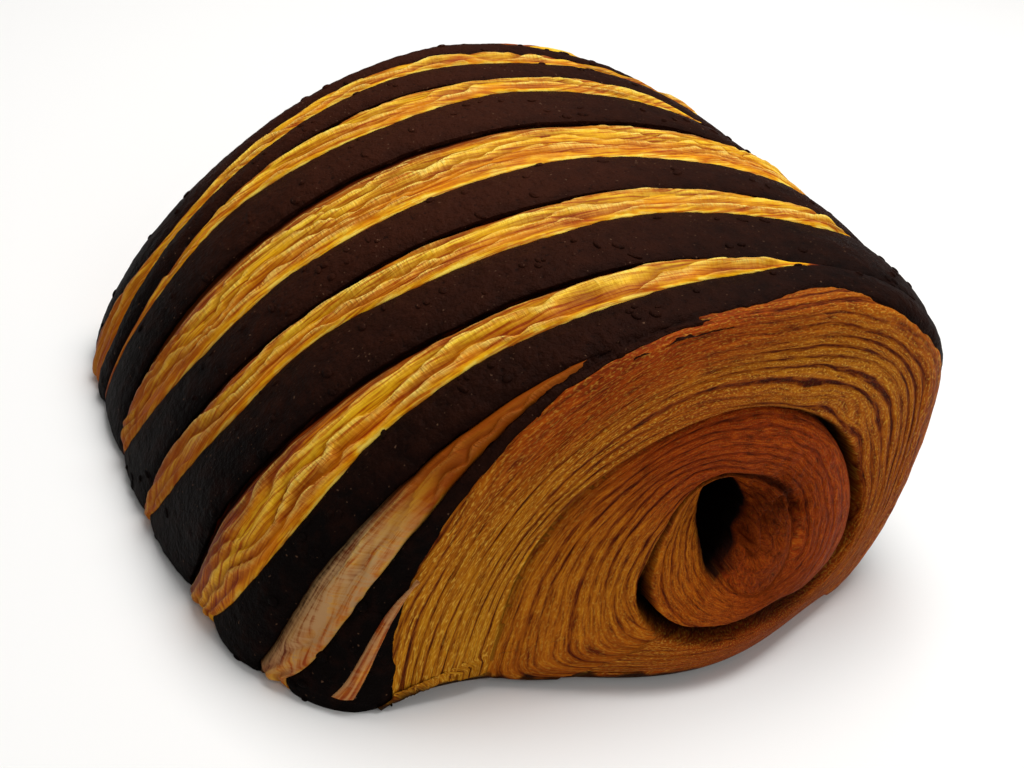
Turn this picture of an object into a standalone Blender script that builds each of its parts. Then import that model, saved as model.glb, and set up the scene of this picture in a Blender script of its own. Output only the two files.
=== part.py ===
"""Two-tone pain au chocolat: a plump laminated roll with cocoa-dough bands and a spiral at each end.

The roll lies along Y on its flat underside, with its nearer spiral end at -Y, its width along X and
its height along Z. A section runs from the left foot (t = 0) over the crown to the right foot (t = 1).
"""

import math

import bmesh
import bpy
import numpy as np
from mathutils import Matrix

MM = 0.001

# Driving sizes of the roll
WIDTH = 110 * MM
HEIGHT = 48.5 * MM
BARREL_LENGTH = 95.5 * MM
RIM_REACH = 49 * MM
RIM_ROUNDING = 2.5 * MM
END_TURN = 0.104
CROWN_SHIFT = 10 * MM
END_NARROWING = 0.205
END_NARROWING_POWER = 5.9

# Left flank: it flares out to the foot. Right flank: it is round and tucked under.
LEFT_FOOT_HEIGHT = 0.04
LEFT_FOOT_REACH = 0.985
LEFT_HEIGHT_POWER = 1.34
RIGHT_BELLY_HEIGHT = 0.53
RIGHT_FOOT_REACH = 0.73
RIGHT_POWER = 0.80

# Spiral end: its bulge, the centre that its turns are measured from, and the hole in its core
BULGE = 10 * MM
BULGE_CENTRE = (10 * MM, 8 * MM)
BULGE_SPREAD = (23 * MM, 19 * MM)
SPIRAL_CENTRE = (14 * MM, 17 * MM)
HOLE_CENTRE = (8.7 * MM, 21.7 * MM)
HOLE_RADII = (3.2 * MM, 5.2 * MM)
HOLE_DEPTH = 13 * MM
TURN_SWELL = 1.1 * MM
CREASE_DEPTH = 2.4 * MM

# Cocoa bands: laid in shallow seats of the roll, which swells up between them
BAND_THICKNESS = 1.55 * MM
BAND_PROUD = 0.25 * MM
BAND_CROWNING = 0.35 * MM
SEAT_CLEARANCE = 0.3 * MM
SEAT_WALL = 0.15 * MM
SEAT_DEPTH = BAND_THICKNESS - BAND_PROUD + SEAT_CLEARANCE
BAND_INSET = SEAT_WALL + SEAT_CLEARANCE
BAND_REACH = RIM_REACH - 1.8 * MM
SEAT_START = 0.12
BAND_START = 0.20
BAND_END = 0.965
FIRST_BAND_END = 0.37
FULL_RELIEF_WIDTH = 6 * MM
SHALLOW_BAND_WIDTH = 2.4 * MM
RIDGE_HEIGHT = 0.9 * MM
CRUST_HEIGHT = 0.3 * MM
SLOPE_FOOT = -1.2 * MM
LIP_HEIGHT = -0.2 * MM

# How finely the surface is divided
FLANK_STEPS = 34
FOOT_STATIONS = (0.84, 0.88, 0.92, BAND_END, 1.0)
UNDERSIDE_STEPS = 9

# Where each band's front and back edge crosses the left foot, the left flank, the crown, the right
# shoulder and the right belly, in millimetres from the middle of the roll
EDGE_STATIONS = (0.20, 0.35, 0.50, 0.65, 0.80)
BAND_EDGES_MM = (
    ((-49.0, -49.0, -49.0, -49.0, -49.0), (-43.5, -45.8, -48.5, -48.5, -48.5)),
    ((-38.8, -42.5, -48.0, -48.0, -48.0), (-29.5, -36.0, -40.5, -43.9, -45.4)),
    ((-22.5, -26.5, -35.5, -43.3, -44.8), (-12.5, -14.5, -22.3, -29.0, -33.0)),
    ((-7.0, -8.4, -13.2, -22.0, -28.0), (4.0, 2.6, -2.9, -10.0, -17.0)),
    ((12.5, 16.0, 12.4, -0.5, -9.0), (25.5, 26.5, 23.4, 10.0, 1.0)),
    ((29.0, 30.5, 31.0, 17.0, 8.0), (34.0, 36.0, 37.8, 23.0, 13.5)),
    ((40.0, 42.0, 44.5, 33.0, 26.0), (46.0, 47.5, 48.4, 41.0, 34.5)),
)

# The creases between the turns of the spiral, as degrees round its centre and radius in millimetres
OUTER_CREASE = (
    (-156, 35.0), (-135, 21.0), (-115, 16.0), (-92, 14.3), (-70, 15.0), (-45, 19.0), (-18, 22.5),
    (16, 19.8), (43, 17.7), (71, 16.9), (99, 17.3), (127, 19.0), (151, 22.7), (169, 26.5),
    (183, 30.5), (204, 35.0),
)
INNER_CREASE = (
    (-153, 16.0), (-122, 12.5), (-92, 11.0), (-40, 11.0), (0, 10.0), (40, 8.5), (75, 9.5),
    (100, 12.0), (120, 13.0), (140, 13.6), (162, 14.6), (180, 15.7), (207, 16.0),
)


def smooth_curve(position, knots, values):
    """A smooth curve through a few knots, held level beyond the first and the last."""
    position = np.clip(np.asarray(position, float), knots[0], knots[-1])
    knots = np.asarray(knots, float)
    values = np.asarray(values, float)
    slopes = np.gradient(values, knots)
    step = np.clip(np.searchsorted(knots, position) - 1, 0, len(knots) - 2)
    span = knots[step + 1] - knots[step]
    s = (position - knots[step]) / span
    start = values[step] * (2 * s**3 - 3 * s**2 + 1) + slopes[step] * span * (s**3 - 2 * s**2 + s)
    finish = values[step + 1] * (3 * s**2 - 2 * s**3) + slopes[step + 1] * span * (s**3 - s**2)
    return start + finish


def ease(value, low, high):
    """0 below low, 1 above high, and a smooth step between them."""
    s = np.clip((value - low) / (high - low), 0, 1)
    return s * s * (3 - 2 * s)


def section_stations():
    """The stations over the roll, from the left foot (0) to the right foot (1)."""
    flank = np.linspace(0.2, 0.8, FLANK_STEPS + 1)
    return np.concatenate([(0.0, SEAT_START), flank, FOOT_STATIONS])


def section(y, t):
    """X and Z of the smooth barrel at the length y and the station t."""
    y, t = np.broadcast_arrays(y, t)
    half = WIDTH / 2 * (1 - END_NARROWING * np.abs(2 * y / BARREL_LENGTH) ** END_NARROWING_POWER)
    climb = np.clip((t - 0.2) / 0.3, 0, 1) * math.pi / 2
    drop = np.clip((0.8 - t) / 0.3, 0, 1) * math.pi / 2
    left_tuck = np.clip(t / 0.2, 0, 1) * math.pi / 2
    right_tuck = np.clip((1 - t) / 0.2, 0, 1) * math.pi / 2
    left_base = LEFT_FOOT_HEIGHT * HEIGHT
    right_base = RIGHT_BELLY_HEIGHT * HEIGHT
    left_x = CROWN_SHIFT - (half + CROWN_SHIFT) * np.cos(climb)
    left_z = left_base + (HEIGHT - left_base) * np.sin(climb) ** LEFT_HEIGHT_POWER
    right_x = CROWN_SHIFT + (half - CROWN_SHIFT) * np.cos(drop) ** RIGHT_POWER
    right_z = right_base + (HEIGHT - right_base) * np.sin(drop) ** RIGHT_POWER
    left_foot = -half * (LEFT_FOOT_REACH + (1 - LEFT_FOOT_REACH) * np.sin(left_tuck))
    right_foot = half * (RIGHT_FOOT_REACH + (1 - RIGHT_FOOT_REACH) * np.sin(right_tuck))
    places = [t < 0.2, t <= 0.5, t <= 0.8]
    x = np.select(places, [left_foot, left_x, right_x], right_foot)
    z = np.select(
        places,
        [left_base * (1 - np.cos(left_tuck)), left_z, right_z],
        right_base * (1 - np.cos(right_tuck)),
    )
    return x, z


def bulge(x, z):
    """How far the core of the spiral stands out of the end of the roll."""
    across = (x - BULGE_CENTRE[0]) / BULGE_SPREAD[0]
    up = (z - BULGE_CENTRE[1]) / BULGE_SPREAD[1]
    return BULGE * np.exp(-(across**2) - up**2)


def loop_normals(x, z):
    """The outward normals, in the section's plane, of closed loops of points."""
    along_x = np.roll(x, -1, axis=-1) - np.roll(x, 1, axis=-1)
    along_z = np.roll(z, -1, axis=-1) - np.roll(z, 1, axis=-1)
    size = np.hypot(along_x, along_z)
    return -along_z / size, along_x / size


def barrel_rows(lengths):
    """Closed loops of the barrel, one for each row of lengths given over the section's stations.

    The underside joins the two feet. The ends are turned by END_TURN, so the place along Y follows X.
    """
    t = section_stations()
    share = np.linspace(0, 1, UNDERSIDE_STEPS + 1)[1:-1]
    y = lengths
    for _ in range(4):
        x, z = section(y, t[None, :])
        y = lengths + END_TURN * x
    under_x = x[:, -1:] + (x[:, :1] - x[:, -1:]) * share
    under_length = lengths[:, -1:] + (lengths[:, :1] - lengths[:, -1:]) * share
    x = np.concatenate([x, under_x], axis=1)
    z = np.concatenate([z, np.zeros_like(under_x)], axis=1)
    length = np.concatenate([lengths, under_length], axis=1)
    normal_x, normal_z = loop_normals(x, z)
    near_rim = np.clip(RIM_ROUNDING - (RIM_REACH - np.abs(length)), 0, RIM_ROUNDING)
    inset = RIM_ROUNDING - np.sqrt(RIM_ROUNDING**2 - near_rim**2)
    x = x - normal_x * inset
    z = z - normal_z * inset
    reach = np.sign(length) * bulge(x, z) * ease(np.abs(length), 0.6 * RIM_REACH, RIM_REACH)
    return np.stack([x, length + END_TURN * x + reach, z], axis=-1)


def row_normals(rows):
    """The outward normals of a stack of loops, from their neighbours."""
    along = np.gradient(rows, axis=0)
    around = np.roll(rows, -1, axis=1) - np.roll(rows, 1, axis=1)
    normal = np.cross(around, along)
    return normal / np.linalg.norm(normal, axis=-1, keepdims=True)


def band_edge(index, side):
    """One edge of one band along the section's stations."""
    return smooth_curve(section_stations(), EDGE_STATIONS, BAND_EDGES_MM[index][side]) * MM


def seat_depth(front, back):
    """The depth of a band's seat, which fades out at the feet and where the band is a mere line."""
    t = section_stations()
    fade = ease(back - front, 0.3 * SHALLOW_BAND_WIDTH, SHALLOW_BAND_WIDTH)
    return SEAT_DEPTH * fade * ((t > 0) & (t < 1))


def barrel_layout():
    """The lengths and the relief of every row of the roll, from its nearer to its farther rim."""
    t = section_stations()
    off_the_feet = ease(t, SEAT_START, 0.24) * (1 - ease(t, 0.88, BAND_END))
    lengths = [np.full_like(t, -RIM_REACH)]
    relief = [np.zeros_like(t)]
    last_back = None
    for index in range(len(BAND_EDGES_MM)):
        front = band_edge(index, 0)
        back = band_edge(index, 1)
        if last_back is not None:
            gap = front - last_back
            strength = ease(gap, 0, FULL_RELIEF_WIDTH) * off_the_feet
            ripple = 1 + 0.35 * np.sin(41 * t + 2.1 * index)
            lengths += [last_back + 0.30 * gap, last_back + 0.62 * gap, front]
            relief += [
                CRUST_HEIGHT * strength,
                RIDGE_HEIGHT * strength * ripple,
                SLOPE_FOOT * strength,
            ]
        depth = seat_depth(front, back)
        lengths += [front + SEAT_WALL, (front + back) / 2, back - SEAT_WALL, back]
        relief += [-depth, -depth, -depth, LIP_HEIGHT * off_the_feet]
        last_back = back
    lengths.append(np.full_like(t, RIM_REACH))
    relief.append(np.zeros_like(t))
    return np.array(lengths), np.array(relief)


def barrel_surface():
    """The side of the roll, with the seats of the bands and the swell of the dough between them."""
    lengths, relief = barrel_layout()
    rows = barrel_rows(lengths)
    normals = row_normals(barrel_rows(lengths))
    under = np.zeros((len(relief), rows.shape[1] - relief.shape[1]))
    relief = np.concatenate([relief, under], axis=1)
    surface = rows + normals * relief[..., None]
    surface[..., 2] = np.maximum(surface[..., 2], 0)
    return surface


def crease_loop(knots, angle):
    """The points of one crease at the given angles round the spiral's centre."""
    degrees = np.degrees(angle)
    first = knots[0][0]
    degrees = first + np.mod(degrees - first, 360)
    radius = smooth_curve(degrees, [k[0] for k in knots], [k[1] for k in knots]) * MM
    x = SPIRAL_CENTRE[0] + radius * np.cos(angle)
    z = SPIRAL_CENTRE[1] + radius * np.sin(angle)
    return np.stack([x, z], axis=-1)


def end_surface(rim, side):
    """The rows of a spiral end, from its rim to the bottom of its hole, and that bottom's point."""
    edge = rim[:, [0, 2]]
    angle = np.arctan2(edge[:, 1] - SPIRAL_CENTRE[1], edge[:, 0] - SPIRAL_CENTRE[0])
    outer = crease_loop(OUTER_CREASE, angle)
    inner = crease_loop(INNER_CREASE, angle)
    hole_angle = np.arctan2(inner[:, 1] - HOLE_CENTRE[1], inner[:, 0] - HOLE_CENTRE[0])
    hole = np.stack(
        [
            HOLE_CENTRE[0] + HOLE_RADII[0] * np.cos(hole_angle),
            HOLE_CENTRE[1] + HOLE_RADII[1] * np.sin(hole_angle),
        ],
        axis=-1,
    )
    degrees = np.mod(np.degrees(angle) + 150, 360) - 150
    outer_crease = CREASE_DEPTH * (1 - ease(-degrees, 60, 110))
    inner_crease = CREASE_DEPTH * (1 - ease(degrees, -20, 30) * (1 - ease(degrees, 100, 150)))
    plan = [
        (edge, outer, 0.28, -0.8 * TURN_SWELL),
        (edge, outer, 0.60, -TURN_SWELL),
        (edge, outer, 0.86, -0.5 * TURN_SWELL),
        (edge, outer, 1.0, outer_crease),
        (outer, inner, 0.18, -0.3 * TURN_SWELL),
        (outer, inner, 0.55, -TURN_SWELL),
        (outer, inner, 0.85, -0.6 * TURN_SWELL),
        (outer, inner, 1.0, 0.6 * inner_crease),
        (inner, hole, 0.30, -0.6 * TURN_SWELL),
        (inner, hole, 0.78, -0.4 * TURN_SWELL),
        (inner, hole, 1.0, 0.15 * HOLE_DEPTH),
        (inner, hole, 1.05, 0.62 * HOLE_DEPTH),
    ]
    rows = []
    for start, finish, share, depth in plan:
        flat = start + (finish - start) * share
        x, z = flat[:, 0], flat[:, 1]
        y = side * (RIM_REACH + bulge(x, z) - depth) + END_TURN * x
        rows.append(np.stack([x, y, z], axis=-1))
    x, z = HOLE_CENTRE
    bottom = (x, side * (RIM_REACH + float(bulge(x, z)) - HOLE_DEPTH) + END_TURN * x, z)
    return np.array(rows), bottom


def roll_mesh():
    """The whole roll: a sphere's rings and poles moved onto the barrel, its two ends and their holes."""
    barrel = barrel_surface()
    near, near_bottom = end_surface(barrel[0], -1)
    far, far_bottom = end_surface(barrel[-1], 1)
    rings = np.concatenate([near[::-1], barrel, far])
    ring_count, segment_count = rings.shape[:2]
    bm = bmesh.new()
    bmesh.ops.create_uvsphere(bm, u_segments=segment_count, v_segments=ring_count + 1, radius=1)
    for vert in bm.verts:
        ring = round(math.acos(max(-1, min(1, vert.co.z))) / math.pi * (ring_count + 1))
        segment = round(math.atan2(vert.co.y, vert.co.x) / math.tau * segment_count)
        if ring == 0:
            vert.co = near_bottom
        elif ring == ring_count + 1:
            vert.co = far_bottom
        else:
            vert.co = rings[ring - 1, -segment % segment_count]
    return finish_mesh(bm, "pastry_roll")


def band_mesh(index, name):
    """The outer face of a cocoa band: a grid moved onto the barrel between the band's two edges."""
    front = np.maximum(band_edge(index, 0) + BAND_INSET, -BAND_REACH)
    back = np.minimum(band_edge(index, 1) - BAND_INSET, BAND_REACH)
    t = section_stations()
    last = FIRST_BAND_END if index == 0 else BAND_END
    kept = np.flatnonzero((t >= BAND_START - 1e-6) & (t <= last + 1e-6))
    step = 0.5 * SEAT_WALL
    lengths = np.array([front, front + step, (front + back) / 2, back - step, back])
    rows = barrel_rows(lengths)
    proud = np.array([0, 0, 1, 0, 0])[:, None, None] * BAND_CROWNING + BAND_PROUD
    surface = (rows + row_normals(rows) * proud)[[0, 2, 4]][:, kept]
    bm = bmesh.new()
    bmesh.ops.create_grid(bm, x_segments=len(kept) - 1, y_segments=2, size=1)
    for vert in bm.verts:
        column = round((vert.co.x + 1) / 2 * (len(kept) - 1))
        vert.co = surface[round(vert.co.y + 1), column]
    return finish_mesh(bm, name)


def centre_over_origin(objects, basis):
    """Moves every mesh so that the basis mesh's box stands with its bottom centre on the origin."""
    points = np.array([vert.co for vert in basis.vertices])
    middle = (points.min(axis=0) + points.max(axis=0)) / 2
    for each in objects:
        each.data.transform(Matrix.Translation((-middle[0], -middle[1], 0)))


def finish_mesh(bm, name):
    """A named mesh, shaded smooth with its true edges kept sharp."""
    mesh = bpy.data.meshes.new(name)
    bm.to_mesh(mesh)
    bm.free()
    mesh.shade_smooth()
    mesh.set_sharp_from_angle(angle=math.radians(50))
    return mesh


def material(name, color, roughness):
    """A plain opaque finish, with no metal in it."""
    made = bpy.data.materials.new(name)
    made.use_nodes = True
    shader = made.node_tree.nodes["Principled BSDF"]
    shader.inputs["Base Color"].default_value = (*color, 1)
    shader.inputs["Roughness"].default_value = roughness
    shader.inputs["Metallic"].default_value = 0
    return made


def place(mesh, finish, collection):
    """An object for a mesh, in the given collection and finish."""
    made = bpy.data.objects.new(mesh.name, mesh)
    mesh.materials.append(finish)
    collection.objects.link(made)
    return made


def clear_scene():
    """Removes what the scene starts with."""
    for old in list(bpy.data.objects):
        bpy.data.objects.remove(old, do_unlink=True)


def main():
    clear_scene()
    collection = bpy.data.collections.new("pain_au_chocolat")
    bpy.context.scene.collection.children.link(collection)
    roll = place(roll_mesh(), material("baked_laminated_dough", (0.50, 0.20, 0.035), 0.45), collection)
    parts = [roll]
    for index in range(len(BAND_EDGES_MM)):
        cocoa = material(f"baked_cocoa_dough_{index + 1}", (0.025, 0.011, 0.007), 0.6)
        band = place(band_mesh(index, f"cocoa_band_{index + 1}"), cocoa, collection)
        solid = band.modifiers.new("band_thickness", "SOLIDIFY")
        solid.thickness = BAND_THICKNESS
        solid.offset = -1
        solid.use_even_offset = True
        parts.append(band)
    centre_over_origin(parts, roll.data)


main()
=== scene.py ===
"""Looks of a two-tone pain au chocolat: laminated crust, cocoa bands and spiral ends, in a plain studio.

The roll lies along Y with its nearer spiral end at -Y, its width along X and its height along Z.
A section runs from the left foot (station 0) over the crown to the right foot (station 1).
"""

import logging
import math
from dataclasses import dataclass, field, replace
from enum import Enum
from functools import partial

import bpy
import numpy as np
from mathutils import Matrix, Vector


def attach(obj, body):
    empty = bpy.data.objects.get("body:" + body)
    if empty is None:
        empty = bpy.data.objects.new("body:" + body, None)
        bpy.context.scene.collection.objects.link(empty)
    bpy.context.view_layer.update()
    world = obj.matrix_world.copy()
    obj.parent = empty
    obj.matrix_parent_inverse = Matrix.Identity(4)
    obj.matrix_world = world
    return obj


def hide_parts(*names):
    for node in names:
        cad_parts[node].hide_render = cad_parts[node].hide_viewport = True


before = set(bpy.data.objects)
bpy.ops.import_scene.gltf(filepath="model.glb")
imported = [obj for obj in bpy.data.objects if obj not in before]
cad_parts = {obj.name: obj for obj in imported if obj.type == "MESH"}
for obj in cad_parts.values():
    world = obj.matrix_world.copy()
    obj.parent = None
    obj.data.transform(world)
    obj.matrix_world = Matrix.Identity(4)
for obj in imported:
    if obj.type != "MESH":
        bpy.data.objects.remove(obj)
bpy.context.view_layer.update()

LOG = logging.getLogger("pain_au_chocolat")
Array = np.ndarray
Values = dict[str, Array]
Pair = tuple[float, float]
Triple = tuple[float, float, float]
Piece = bpy.types.Object
Mesh = bpy.types.Mesh
Tree = bpy.types.NodeTree
Node = bpy.types.Node
Material = bpy.types.Material
MM = 0.001
BODY = "root"
GRAIN_HASH = (127.1, 311.7, 74.7, 43758.5453)
OCTAVE_STRIDE = 17.3
LAYER_STRIDE = 1.7  # keeps the noise of one layer of dough apart from its neighbour's


class Slot(Enum):
    """The record's material slots."""

    BAKED_DOUGH = "baked_dough"
    COCOA_DOUGH = "cocoa_dough"


class Side(Enum):
    """The two spiral ends, by the sign of their place along the roll."""

    NEAR = -1
    FAR = 1


def smooth_curve(position: Array, knots: Array, values: Array) -> Array:
    """A smooth curve through a few knots, held level beyond the first and the last.

    Args:
        position: Where to read the curve.
        knots: Rising places of the knots.
        values: The curve's value at each knot.

    Returns:
        The values at the positions.
    """
    position = np.clip(np.asarray(position, float), knots[0], knots[-1])
    knots = np.asarray(knots, float)
    values = np.asarray(values, float)
    slopes = np.gradient(values, knots)
    step = np.clip(np.searchsorted(knots, position) - 1, 0, len(knots) - 2)
    span = knots[step + 1] - knots[step]
    s = (position - knots[step]) / span
    start = values[step] * (2 * s**3 - 3 * s**2 + 1) + slopes[step] * span * (s**3 - 2 * s**2 + s)
    finish = values[step + 1] * (3 * s**2 - 2 * s**3) + slopes[step + 1] * span * (s**3 - s**2)
    return start + finish


def through(position: Array, knots: tuple[Pair, ...]) -> Array:
    """The smooth curve through (place, value) knots."""
    return smooth_curve(position, [k[0] for k in knots], [k[1] for k in knots])


def ease(value: Array, low: float, high: float) -> Array:
    """0 below low, 1 above high, and a smooth step between them."""
    s = np.clip((value - low) / (high - low), 0, 1)
    return s * s * (3 - 2 * s)


def bell(value: Array, middle: float, spread: float) -> Array:
    """1 at the middle, falling smoothly to nothing a few spreads away."""
    return np.exp(-(((value - middle) / spread) ** 2))


def mound(x: Array, y: Array, middle: Pair, spread: Pair) -> Array:
    """1 at a place in a plane, falling smoothly to nothing a few spreads away."""
    return bell(x, middle[0], spread[0]) * bell(y, middle[1], spread[1])


def between(value: Array, rise: Pair, fall: Pair) -> Array:
    """Rises smoothly to 1 over one span and falls to nothing over another."""
    return ease(value, *rise) * (1 - ease(value, *fall))


def quarter_turn(passed: Array, reach: float) -> Array:
    """An angle that rises evenly from nothing to a right angle over the reach."""
    return np.clip(passed / reach, 0, 1) * math.pi / 2


def grain(x: Array, y: Array, seed: float) -> Array:
    """Smooth noise from -1 to 1, with one random value at each whole x and y.

    Args:
        x: Place along the first axis, in units of the noise's size.
        y: Place along the second axis.
        seed: Picks one of many patterns.

    Returns:
        The noise at each place.
    """
    x, y = np.broadcast_arrays(np.asarray(x, float), np.asarray(y, float))
    corner_x, corner_y = np.floor(x), np.floor(y)
    across = ease(x - corner_x, 0, 1)
    up = ease(y - corner_y, 0, 1)

    def corner(step_x: int, step_y: int) -> Array:
        """The random value at one corner of each cell."""
        by_x, by_y, by_seed, spread = GRAIN_HASH
        mixed = np.sin((corner_x + step_x) * by_x + (corner_y + step_y) * by_y + seed * by_seed)
        return 2 * np.mod(mixed * spread, 1) - 1

    low = corner(0, 0) * (1 - across) + corner(1, 0) * across
    high = corner(0, 1) * (1 - across) + corner(1, 1) * across
    return low * (1 - up) + high * up


def rough_grain(x: Array, y: Array, seed: float, octaves: int = 3) -> Array:
    """Noise with finer and finer copies of itself added, each at half the strength.

    Args:
        x: Place along the first axis, in units of the coarsest noise's size.
        y: Place along the second axis.
        seed: Picks one of many patterns.
        octaves: How many copies there are.

    Returns:
        The noise at each place.
    """
    total = 0.0
    for octave in range(octaves):
        total = total + grain(x * 2**octave, y * 2**octave, seed + OCTAVE_STRIDE * octave) / 2**octave
    return total


def linear(hex_colour: str) -> tuple[float, float, float, float]:
    """Turns an sRGB hex colour into a linear one.

    Args:
        hex_colour: A hash sign and six hex digits.

    Returns:
        Linear red, green, blue and alpha.
    """
    channels = [int(hex_colour[place:place + 2], 16) / 255 for place in (1, 3, 5)]
    lit = [c / 12.92 if c <= 0.04045 else ((c + 0.055) / 1.055) ** 2.4 for c in channels]
    return (*lit, 1.0)


def add_node(tree: Tree, kind: str, settings: dict | None = None, inputs: dict | None = None) -> Node:
    """Adds a node to a shader or geometry tree, with its settings and links.

    Args:
        tree: The tree that takes the node.
        kind: The node's type name.
        settings: Properties of the node; stops are a colour ramp's (place, hex colour) pairs.
        inputs: A value, another node or a node's output for each input, by name or number.

    Returns:
        The node.
    """
    node = tree.nodes.new(kind)
    for name, value in (settings or {}).items():
        if name == "stops":
            ramp = node.color_ramp
            while len(ramp.elements) < len(value):
                ramp.elements.new(1.0)
            for element, (place, hex_colour) in zip(ramp.elements, value):
                element.position = place
                element.color = linear(hex_colour)
        else:
            setattr(node, name, value)
    for name, value in (inputs or {}).items():
        if isinstance(value, Node):
            value = next(output for output in value.outputs if output.enabled)
        if isinstance(value, bpy.types.NodeSocket):
            tree.links.new(value, node.inputs[name])
        else:
            node.inputs[name].default_value = value
    return node


@dataclass(frozen=True)
class RollForm:
    """The smooth form of the roll, before its bands, relief and spiral turns."""

    width: float = 110 * MM
    height: float = 48.5 * MM
    barrel_length: float = 95.5 * MM
    rim_reach: float = 49 * MM
    rim_rounding: float = 2.5 * MM
    end_turn: float = 0.104
    crown_shift: float = 10 * MM
    end_narrowing: float = 0.205
    end_narrowing_power: float = 5.9
    left_foot_height: float = 0.04
    left_foot_reach: float = 0.985
    left_height_power: float = 1.34
    right_belly_height: float = 0.53
    right_foot_reach: float = 0.73
    right_power: float = 0.80
    bulge_reach: float = 10 * MM
    bulge_centre: Pair = (10 * MM, 8 * MM)
    bulge_spread: Pair = (23 * MM, 19 * MM)
    bulge_start: float = 0.6
    left_belly: float = 0.2
    crown: float = 0.5
    right_belly: float = 0.8
    crown_reach: float = 0.3
    foot_reach: float = 0.2
    turning_rounds: int = 4
    centring: Pair = (-0.03 * MM, -1.01 * MM)
    low_height: float = 16 * MM
    far_droop: float = 0.034
    droop_span: Pair = (-20 * MM, 45 * MM)
    right_lift: float = 0.022
    lift_span: Pair = (10 * MM, 50 * MM)
    right_tuck: float = 2.1 * MM
    tuck_span: Pair = (20 * MM, 55 * MM)
    foot_tuck: float = 2.5 * MM
    foot_tuck_place: Pair = (-30.0 * MM, 14 * MM)
    corner_reach: float = 3.2 * MM
    corner_place: Pair = (-45 * MM, -54 * MM)
    corner_spread: Pair = (14 * MM, 12 * MM)
    base_reach: float = 2.2 * MM
    base_place: Pair = (0.0, -52 * MM)
    base_spread: Pair = (17 * MM, 9 * MM)
    fine_stations: int = 4001
    columns_over: int = 420
    columns_under: int = 16

    def stations(self) -> Array:
        """Spreads the columns evenly over the roll's middle section.

        Returns:
            Their stations, from the left foot to the right one.
        """
        fine = np.linspace(0, 1, self.fine_stations)
        x, z = self.section(np.zeros_like(fine), fine)
        length = np.concatenate([[0], np.cumsum(np.hypot(np.diff(x), np.diff(z)))])
        return np.interp(np.linspace(0, length[-1], self.columns_over), length, fine)

    def arc(self) -> Array:
        """The length along the section at each station, in millimetres."""
        x, z = self.section(np.zeros(self.columns_over), self.stations())
        return np.concatenate([[0], np.cumsum(np.hypot(np.diff(x), np.diff(z)))]) / MM

    def section(self, y: Array, t: Array) -> tuple[Array, Array]:
        """The section of the barrel: a low left foot, the crown, and a belly over the right foot.

        Args:
            y: Places along the roll.
            t: Stations in the section.

        Returns:
            X and Z of each point.
        """
        y, t = np.broadcast_arrays(y, t)
        narrowing = self.end_narrowing * np.abs(2 * y / self.barrel_length) ** self.end_narrowing_power
        half = self.width / 2 * (1 - narrowing)
        climb = quarter_turn(t - self.left_belly, self.crown_reach)
        drop = quarter_turn(self.right_belly - t, self.crown_reach)
        left_tuck = quarter_turn(t, self.foot_reach)
        right_tuck = quarter_turn(1 - t, self.foot_reach)
        left_base = self.left_foot_height * self.height
        right_base = self.right_belly_height * self.height
        left_x = self.crown_shift - (half + self.crown_shift) * np.cos(climb)
        left_z = left_base + (self.height - left_base) * np.sin(climb) ** self.left_height_power
        right_x = self.crown_shift + (half - self.crown_shift) * np.cos(drop) ** self.right_power
        right_z = right_base + (self.height - right_base) * np.sin(drop) ** self.right_power
        left_foot = -half * (self.left_foot_reach + (1 - self.left_foot_reach) * np.sin(left_tuck))
        right_foot = half * (self.right_foot_reach + (1 - self.right_foot_reach) * np.sin(right_tuck))
        places = [t < self.left_belly, t <= self.crown, t <= self.right_belly]
        x = np.select(places, [left_foot, left_x, right_x], right_foot)
        z = np.select(
            places,
            [left_base * (1 - np.cos(left_tuck)), left_z, right_z],
            right_base * (1 - np.cos(right_tuck)),
        )
        return x, z

    def bulge(self, x: Array, z: Array) -> Array:
        """How far the core of the spiral stands out of the end of the roll."""
        return self.bulge_reach * mound(x, z, self.bulge_centre, self.bulge_spread)

    def rows(self, lengths: Array) -> Array:
        """Closed loops of the barrel, one for each row of lengths given over the stations.

        Args:
            lengths: The place along the roll of each station of each row.

        Returns:
            Points of shape (rows, columns over and under the roll, 3).
        """
        t = self.stations()
        share = np.linspace(0, 1, self.columns_under + 2)[1:-1]
        y = lengths
        for _ in range(self.turning_rounds):
            x, z = self.section(y, t[None, :])
            y = lengths + self.end_turn * x
        under_x = x[:, -1:] + (x[:, :1] - x[:, -1:]) * share
        under_length = lengths[:, -1:] + (lengths[:, :1] - lengths[:, -1:]) * share
        x = np.concatenate([x, under_x], axis=1)
        z = np.concatenate([z, np.zeros_like(under_x)], axis=1)
        length = np.concatenate([lengths, under_length], axis=1)
        along_x = np.roll(x, -1, axis=-1) - np.roll(x, 1, axis=-1)
        along_z = np.roll(z, -1, axis=-1) - np.roll(z, 1, axis=-1)
        size = np.hypot(along_x, along_z)
        near_rim = np.clip(self.rim_rounding - (self.rim_reach - np.abs(length)), 0, self.rim_rounding)
        inset = self.rim_rounding - np.sqrt(self.rim_rounding**2 - near_rim**2)
        x = x + along_z / size * inset
        z = z - along_x / size * inset
        reach = ease(np.abs(length), self.bulge_start * self.rim_reach, self.rim_reach)
        y = length + self.end_turn * x + np.sign(length) * self.bulge(x, z) * reach
        return np.stack([x, y, z], axis=-1)

    def denser(self, over: int, under: int) -> "RollForm":
        """The same form with other numbers of columns over and under the roll."""
        return replace(self, columns_over=over, columns_under=under)

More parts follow.
